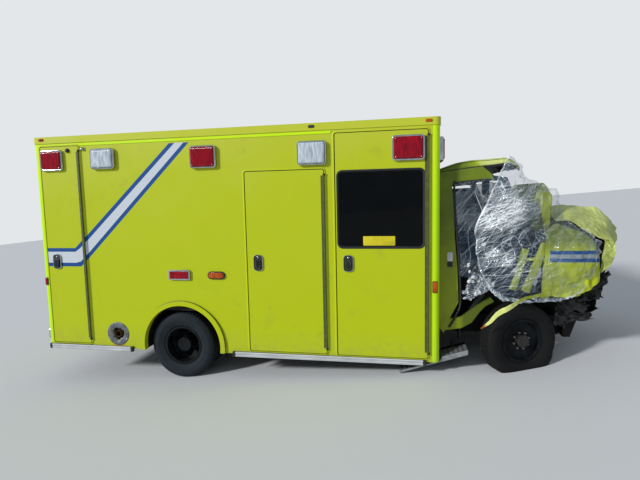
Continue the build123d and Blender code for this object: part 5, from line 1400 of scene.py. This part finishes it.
# Tight pleats run up from the doorway towards the roof, whitened with a soft patch round them as painted
# glare where they catch the light.
pleat_lean = math.radians(30)
ahead, above = film_grid[..., 0] - 3.390, film_grid[..., 2] - 1.800
along = ahead * math.cos(pleat_lean) + above * math.sin(pleat_lean)
aside = above * math.cos(pleat_lean) - ahead * math.sin(pleat_lean)
pleats = creases(film_grid, 74, 0.0, 0.16, 0.025, 14, pleat_lean, 0.10)[1]
lit = np.exp(-(along / 0.32) ** 2 - (aside / 0.13) ** 2)
film_line = np.clip(film_line + 1.05 * pleats * lit + 0.14 * lit, 0, 1)
film = film_piece("film_wrap", clear_film("clear_polyethylene_film", 0.25, 0.66), film_grid, film_line, busy)
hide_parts("plastic_film")

# Film bunch
# The same film gathered at one point of its lower rear corner, its pleats fanned out to uneven tips.
pleat = np.linspace(0, 1, 150)[None, :]
reach = np.linspace(0, 1, 70)[:, None]
random = np.random.default_rng(8)
tips = np.interp(pleat[0], np.linspace(0, 1, 16), random.uniform(0.72, 1.05, 16))[None, :]
fan = math.radians(205) - pleat * math.radians(62)
ray = 0.04 + 0.300 * reach * tips
zigzag = 2 * np.abs(2 * ((pleat * 13) % 1) - 1) - 1
bunch_y = -1.072 - 0.020 * zigzag * (0.25 + reach) + 0.030 * reach
bunch_z = 1.085 + ray * np.sin(fan) * 0.95 - 0.02 * reach
bunch_grid = np.stack(np.broadcast_arrays(3.335 + ray * np.cos(fan), bunch_y, bunch_z), -1)
bunch_grid, bunch_line = creases(bunch_grid, 75, 0.012, 0.14, 0.03, 10)
bunch_line = np.clip(bunch_line + 0.5 * np.clip(np.abs(zigzag) * 3 - 2, 0, 1), 0, 1)
bunch = film_piece("film_bunch", clear_film("bunched_polyethylene_film", 0.30, 0.5), bunch_grid, bunch_line,
                   np.ones_like(bunch_line) * 0.8)

# Film hem
# The film's bottom edge, turned over itself several times into a creased roll.
hem_line = through([(3.215, -1.075, 1.150), (3.280, -1.085, 1.060), (3.345, -1.092, 1.000),
                    (3.420, -1.100, 0.962),
                    (3.520, -1.095, 0.948), (3.640, -1.080, 0.944), (3.760, -1.060, 0.948),
                    (3.900, -1.035, 0.955),
                    (4.020, -1.020, 0.985), (4.110, -1.010, 1.040)], 170)
hem_half = np.interp(np.linspace(0, 1, 170), [0, 0.1, 0.3, 0.55, 0.8, 1],
                     [0.008, 0.020, 0.024, 0.016, 0.010, 0.005])
turn = np.linspace(0, 2 * math.pi, 28, endpoint=False)
lift = np.cross(unit(np.gradient(hem_line, axis=0)), [0, 1.0, 0])
round_line = np.cos(turn)[:, None] * lift[:, None] + 0.7 * np.sin(turn)[:, None] * np.array([0, 1.0, 0])
hem_grid = hem_line[:, None] + hem_half[:, None, None] * round_line
hem_grid, hem_mark = creases(hem_grid, 78, 0.010, 0.10, 0.018, 12)
hem = film_piece("film_hem", clear_film("rolled_polyethylene_film", 0.30, 0.6), hem_grid, hem_mark,
                 0.7 * np.ones_like(hem_mark), (False, True))

# Film veil
# One clear layer of it stretched over the doorway, from the pillar to the wrap.
veil_net = [
    [(2.925, -0.998, 2.085), (3.060, -1.000, 2.112), (3.180, -1.002, 2.120),
     (3.330, -1.005, 2.180), (3.400, -1.010, 2.290)],
    [(2.945, -1.000, 1.800), (3.050, -1.006, 1.800), (3.120, -1.010, 1.810),
     (3.200, -1.020, 1.850), (3.300, -1.030, 1.900)],
    [(2.965, -1.000, 1.450), (3.040, -1.010, 1.450), (3.100, -1.016, 1.460),
     (3.150, -1.030, 1.480), (3.200, -1.040, 1.490)],
    [(2.980, -1.000, 1.180), (3.040, -1.010, 1.160), (3.080, -1.030, 1.150),
     (3.140, -1.045, 1.150), (3.220, -1.055, 1.140)],
]
veil_grid, veil_line = creases(sheet_through(veil_net, 190, 110), 77, 0.012, 0.40, 0.05, 14,
                               math.radians(50), 0.4)
veil = film_piece("film_veil", clear_film("stretched_polyethylene_film", 0.22, 0.3), veil_grid,
                  0.6 * veil_line,
                  0.15 * np.ones_like(veil_line))

# Windscreen
# Laminated glass crazed by the impact, still bonded to its pillars and pushed in at its lower middle.
screen_net = []
for share in np.linspace(0, 1, 6):
    x, z = 3.352 + 0.232 * share, 2.105 - 0.470 * share
    pushed = 0.045 + 0.100 * share * (1.3 - share)
    screen_net.append([(x + 0.012 - pushed * (1 - v * v) ** 2, 0.925 * v, z - 0.03 * (1 - v * v) * share)
                       for v in np.linspace(-1, 1, 9)])
crazed, tree, surface = start("crazed_laminated_glass", Specular_IOR_Level=0.5, Coat_Weight=0.4,
                              Coat_Roughness=0.04)
crazed.surface_render_method = "DITHERED"
place = at_object(tree)
cells, coarse = (add(tree, "ShaderNodeTexVoronoi", {"Vector": place, "Scale": per_metre},
                     feature="DISTANCE_TO_EDGE").outputs["Distance"] for per_metre in (38.0, 7.0))
dense = ramp(tree, noise(tree, place, 420, 3), 0.42, 0.6)
crack = sums(tree, "MAXIMUM", sums(tree, "MULTIPLY", ramp(tree, cells, 0.07, 0.0), dense),
             ramp(tree, coarse, 0.016, 0.0))
alpha = sums(tree, "MULTIPLY_ADD", crack, 0.45, sums(tree, "MULTIPLY_ADD", dense, 0.18, 0.40))
tree.links.new(alpha, surface.inputs["Alpha"])
tree.links.new(blend(tree, crack, blend(tree, dense, "#1B2729", "#46555A"), "#D3DADC"),
               surface.inputs["Base Color"])
tree.links.new(ramp(tree, noise(tree, place, 60), 0.3, 0.7, 0.05, 0.2), surface.inputs["Roughness"])
relief(tree, surface, (crack, 1.0, 0.5))
metal("windscreen_sheet", crazed, folds(sheet_through(screen_net, 56, 94), 91, 0.012, 0.35, 0.08),
      thick=0.005)

# Left door glass and sun visors
# Tempered green glass, wound up; the visors are vinyl over board, folded against the roof lining.
pane_line = [(-0.523, 1.474), (0.036, 1.474), (-0.163, 2.036), (-0.543, 2.026), (-0.523, 1.474)]
pane = straight(pane_line, 80)[:-1] + [wheelbase, 0]
green_glass, tree, surface = start("green_tempered_glass", Specular_IOR_Level=0.6, Coat_Weight=0.5,
                                   Coat_Roughness=0.03)
green_glass.surface_render_method = "DITHERED"
haze = ramp(tree, noise(tree, at_object(tree), 130, 5, 0.6), 0.35, 0.7, 0.74, 0.84)
tree.links.new(haze, surface.inputs["Alpha"])
tree.links.new(blend(tree, haze, "#1D3A4C", "#3C5F74"), surface.inputs["Base Color"])
tree.links.new(ramp(tree, noise(tree, at_object(tree), 60), 0.3, 0.7, 0.05, 0.15),
               surface.inputs["Roughness"])
put("cab_door_left_glass", "cab_door_left", green_glass, extruded(pane, 1, (0.962, 0.967)))
visors = [extruded(rounded(y - 0.20, y + 0.20, -0.085, 0.085, 0.03, 5) + [0, 2.055], 0,
                   (3.315, 3.315 - 0.012))
          for y in (-0.46, 0.46)]
put("sun_visors", "vehicle", moulded, *visors)

# Seats
# Two bucket seats in dark grey vinyl: crowned foam pads with sewn channels, on pressed steel pans.
vinyl = plain_finish("grey_seat_vinyl", "#26292C", "#1E2023", 50, (0.45, 0.62), 0.12, fine_mm=1.2)


def pad(low, high, lean, channels, push=0.16):
    """Crowned cushion: a rounded box (superellipsoid, sines and cosines to the power 0.34) between two
    corners, sheared back by lean over its height, with sewn channels pressed in across its width."""
    u = np.linspace(-math.pi / 2, math.pi / 2, 43)[:, None]
    v = np.linspace(0, 2 * math.pi, 84, endpoint=False)[None, :]
    cos_u, sin_u, cos_v, sin_v = (np.sign(value) * np.abs(value) ** 0.34
                                  for value in (np.cos(u), np.sin(u), np.cos(v), np.sin(v)))
    low, high = np.array(low), np.array(high)
    middle, half = (low + high) / 2, (high - low) / 2
    x, y, z = cos_u * cos_v, cos_u * sin_v, sin_u * np.ones_like(v)
    grid = np.stack([x, y, z], -1)
    pinch = np.zeros_like(x)
    for place in channels:
        pinch += np.exp(-((y - place) / 0.035) ** 2)
    grid[..., 0] *= 1 - push * 0.5 * pinch
    grid[..., 2] *= 1 - push * 0.35 * pinch
    grid = middle + grid * half
    grid[..., 0] += lean * (grid[..., 2] - low[2])
    return skin(grid, (False, True), (True, True))


# Pads are (part, x from, x to, half width, z from, z to, lean, channels across -1 to 1).
seat_rows = [("cushion", 2.852, 3.078, 0.200, 0.872, 0.992, 0, (-0.5, 0, 0.5)),
             ("back", 2.856, 2.936, 0.192, 0.930, 1.400, -0.03, (-0.5, 0, 0.5)),
             ("head", 2.848, 2.915, 0.125, 1.420, 1.558, -0.03, ())]
for side, y in (("right", -0.600), ("left", 0.600)):
    pads = [put(f"seat_{part}_{side}", "vehicle", vinyl,
                pad((x0, y - half, z0), (x1, y + half, z1), lean, channels))
            for part, x0, x1, half, z0, z1, lean, channels in seat_rows]
    pan = extruded(rounded(2.858, 2.992, y - 0.140, y + 0.140, 0.02), 2, (0.7305, 0.740, 0.860, 0.885))
    base = put("seat_pan_" + side, "vehicle", chassis_black, pan)
    for piece in pads:
        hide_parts("seats")
    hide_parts("seats")

low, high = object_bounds()
{"cad": [list(cad_low), list(cad_high)], "visual": [list(low), list(high)]}
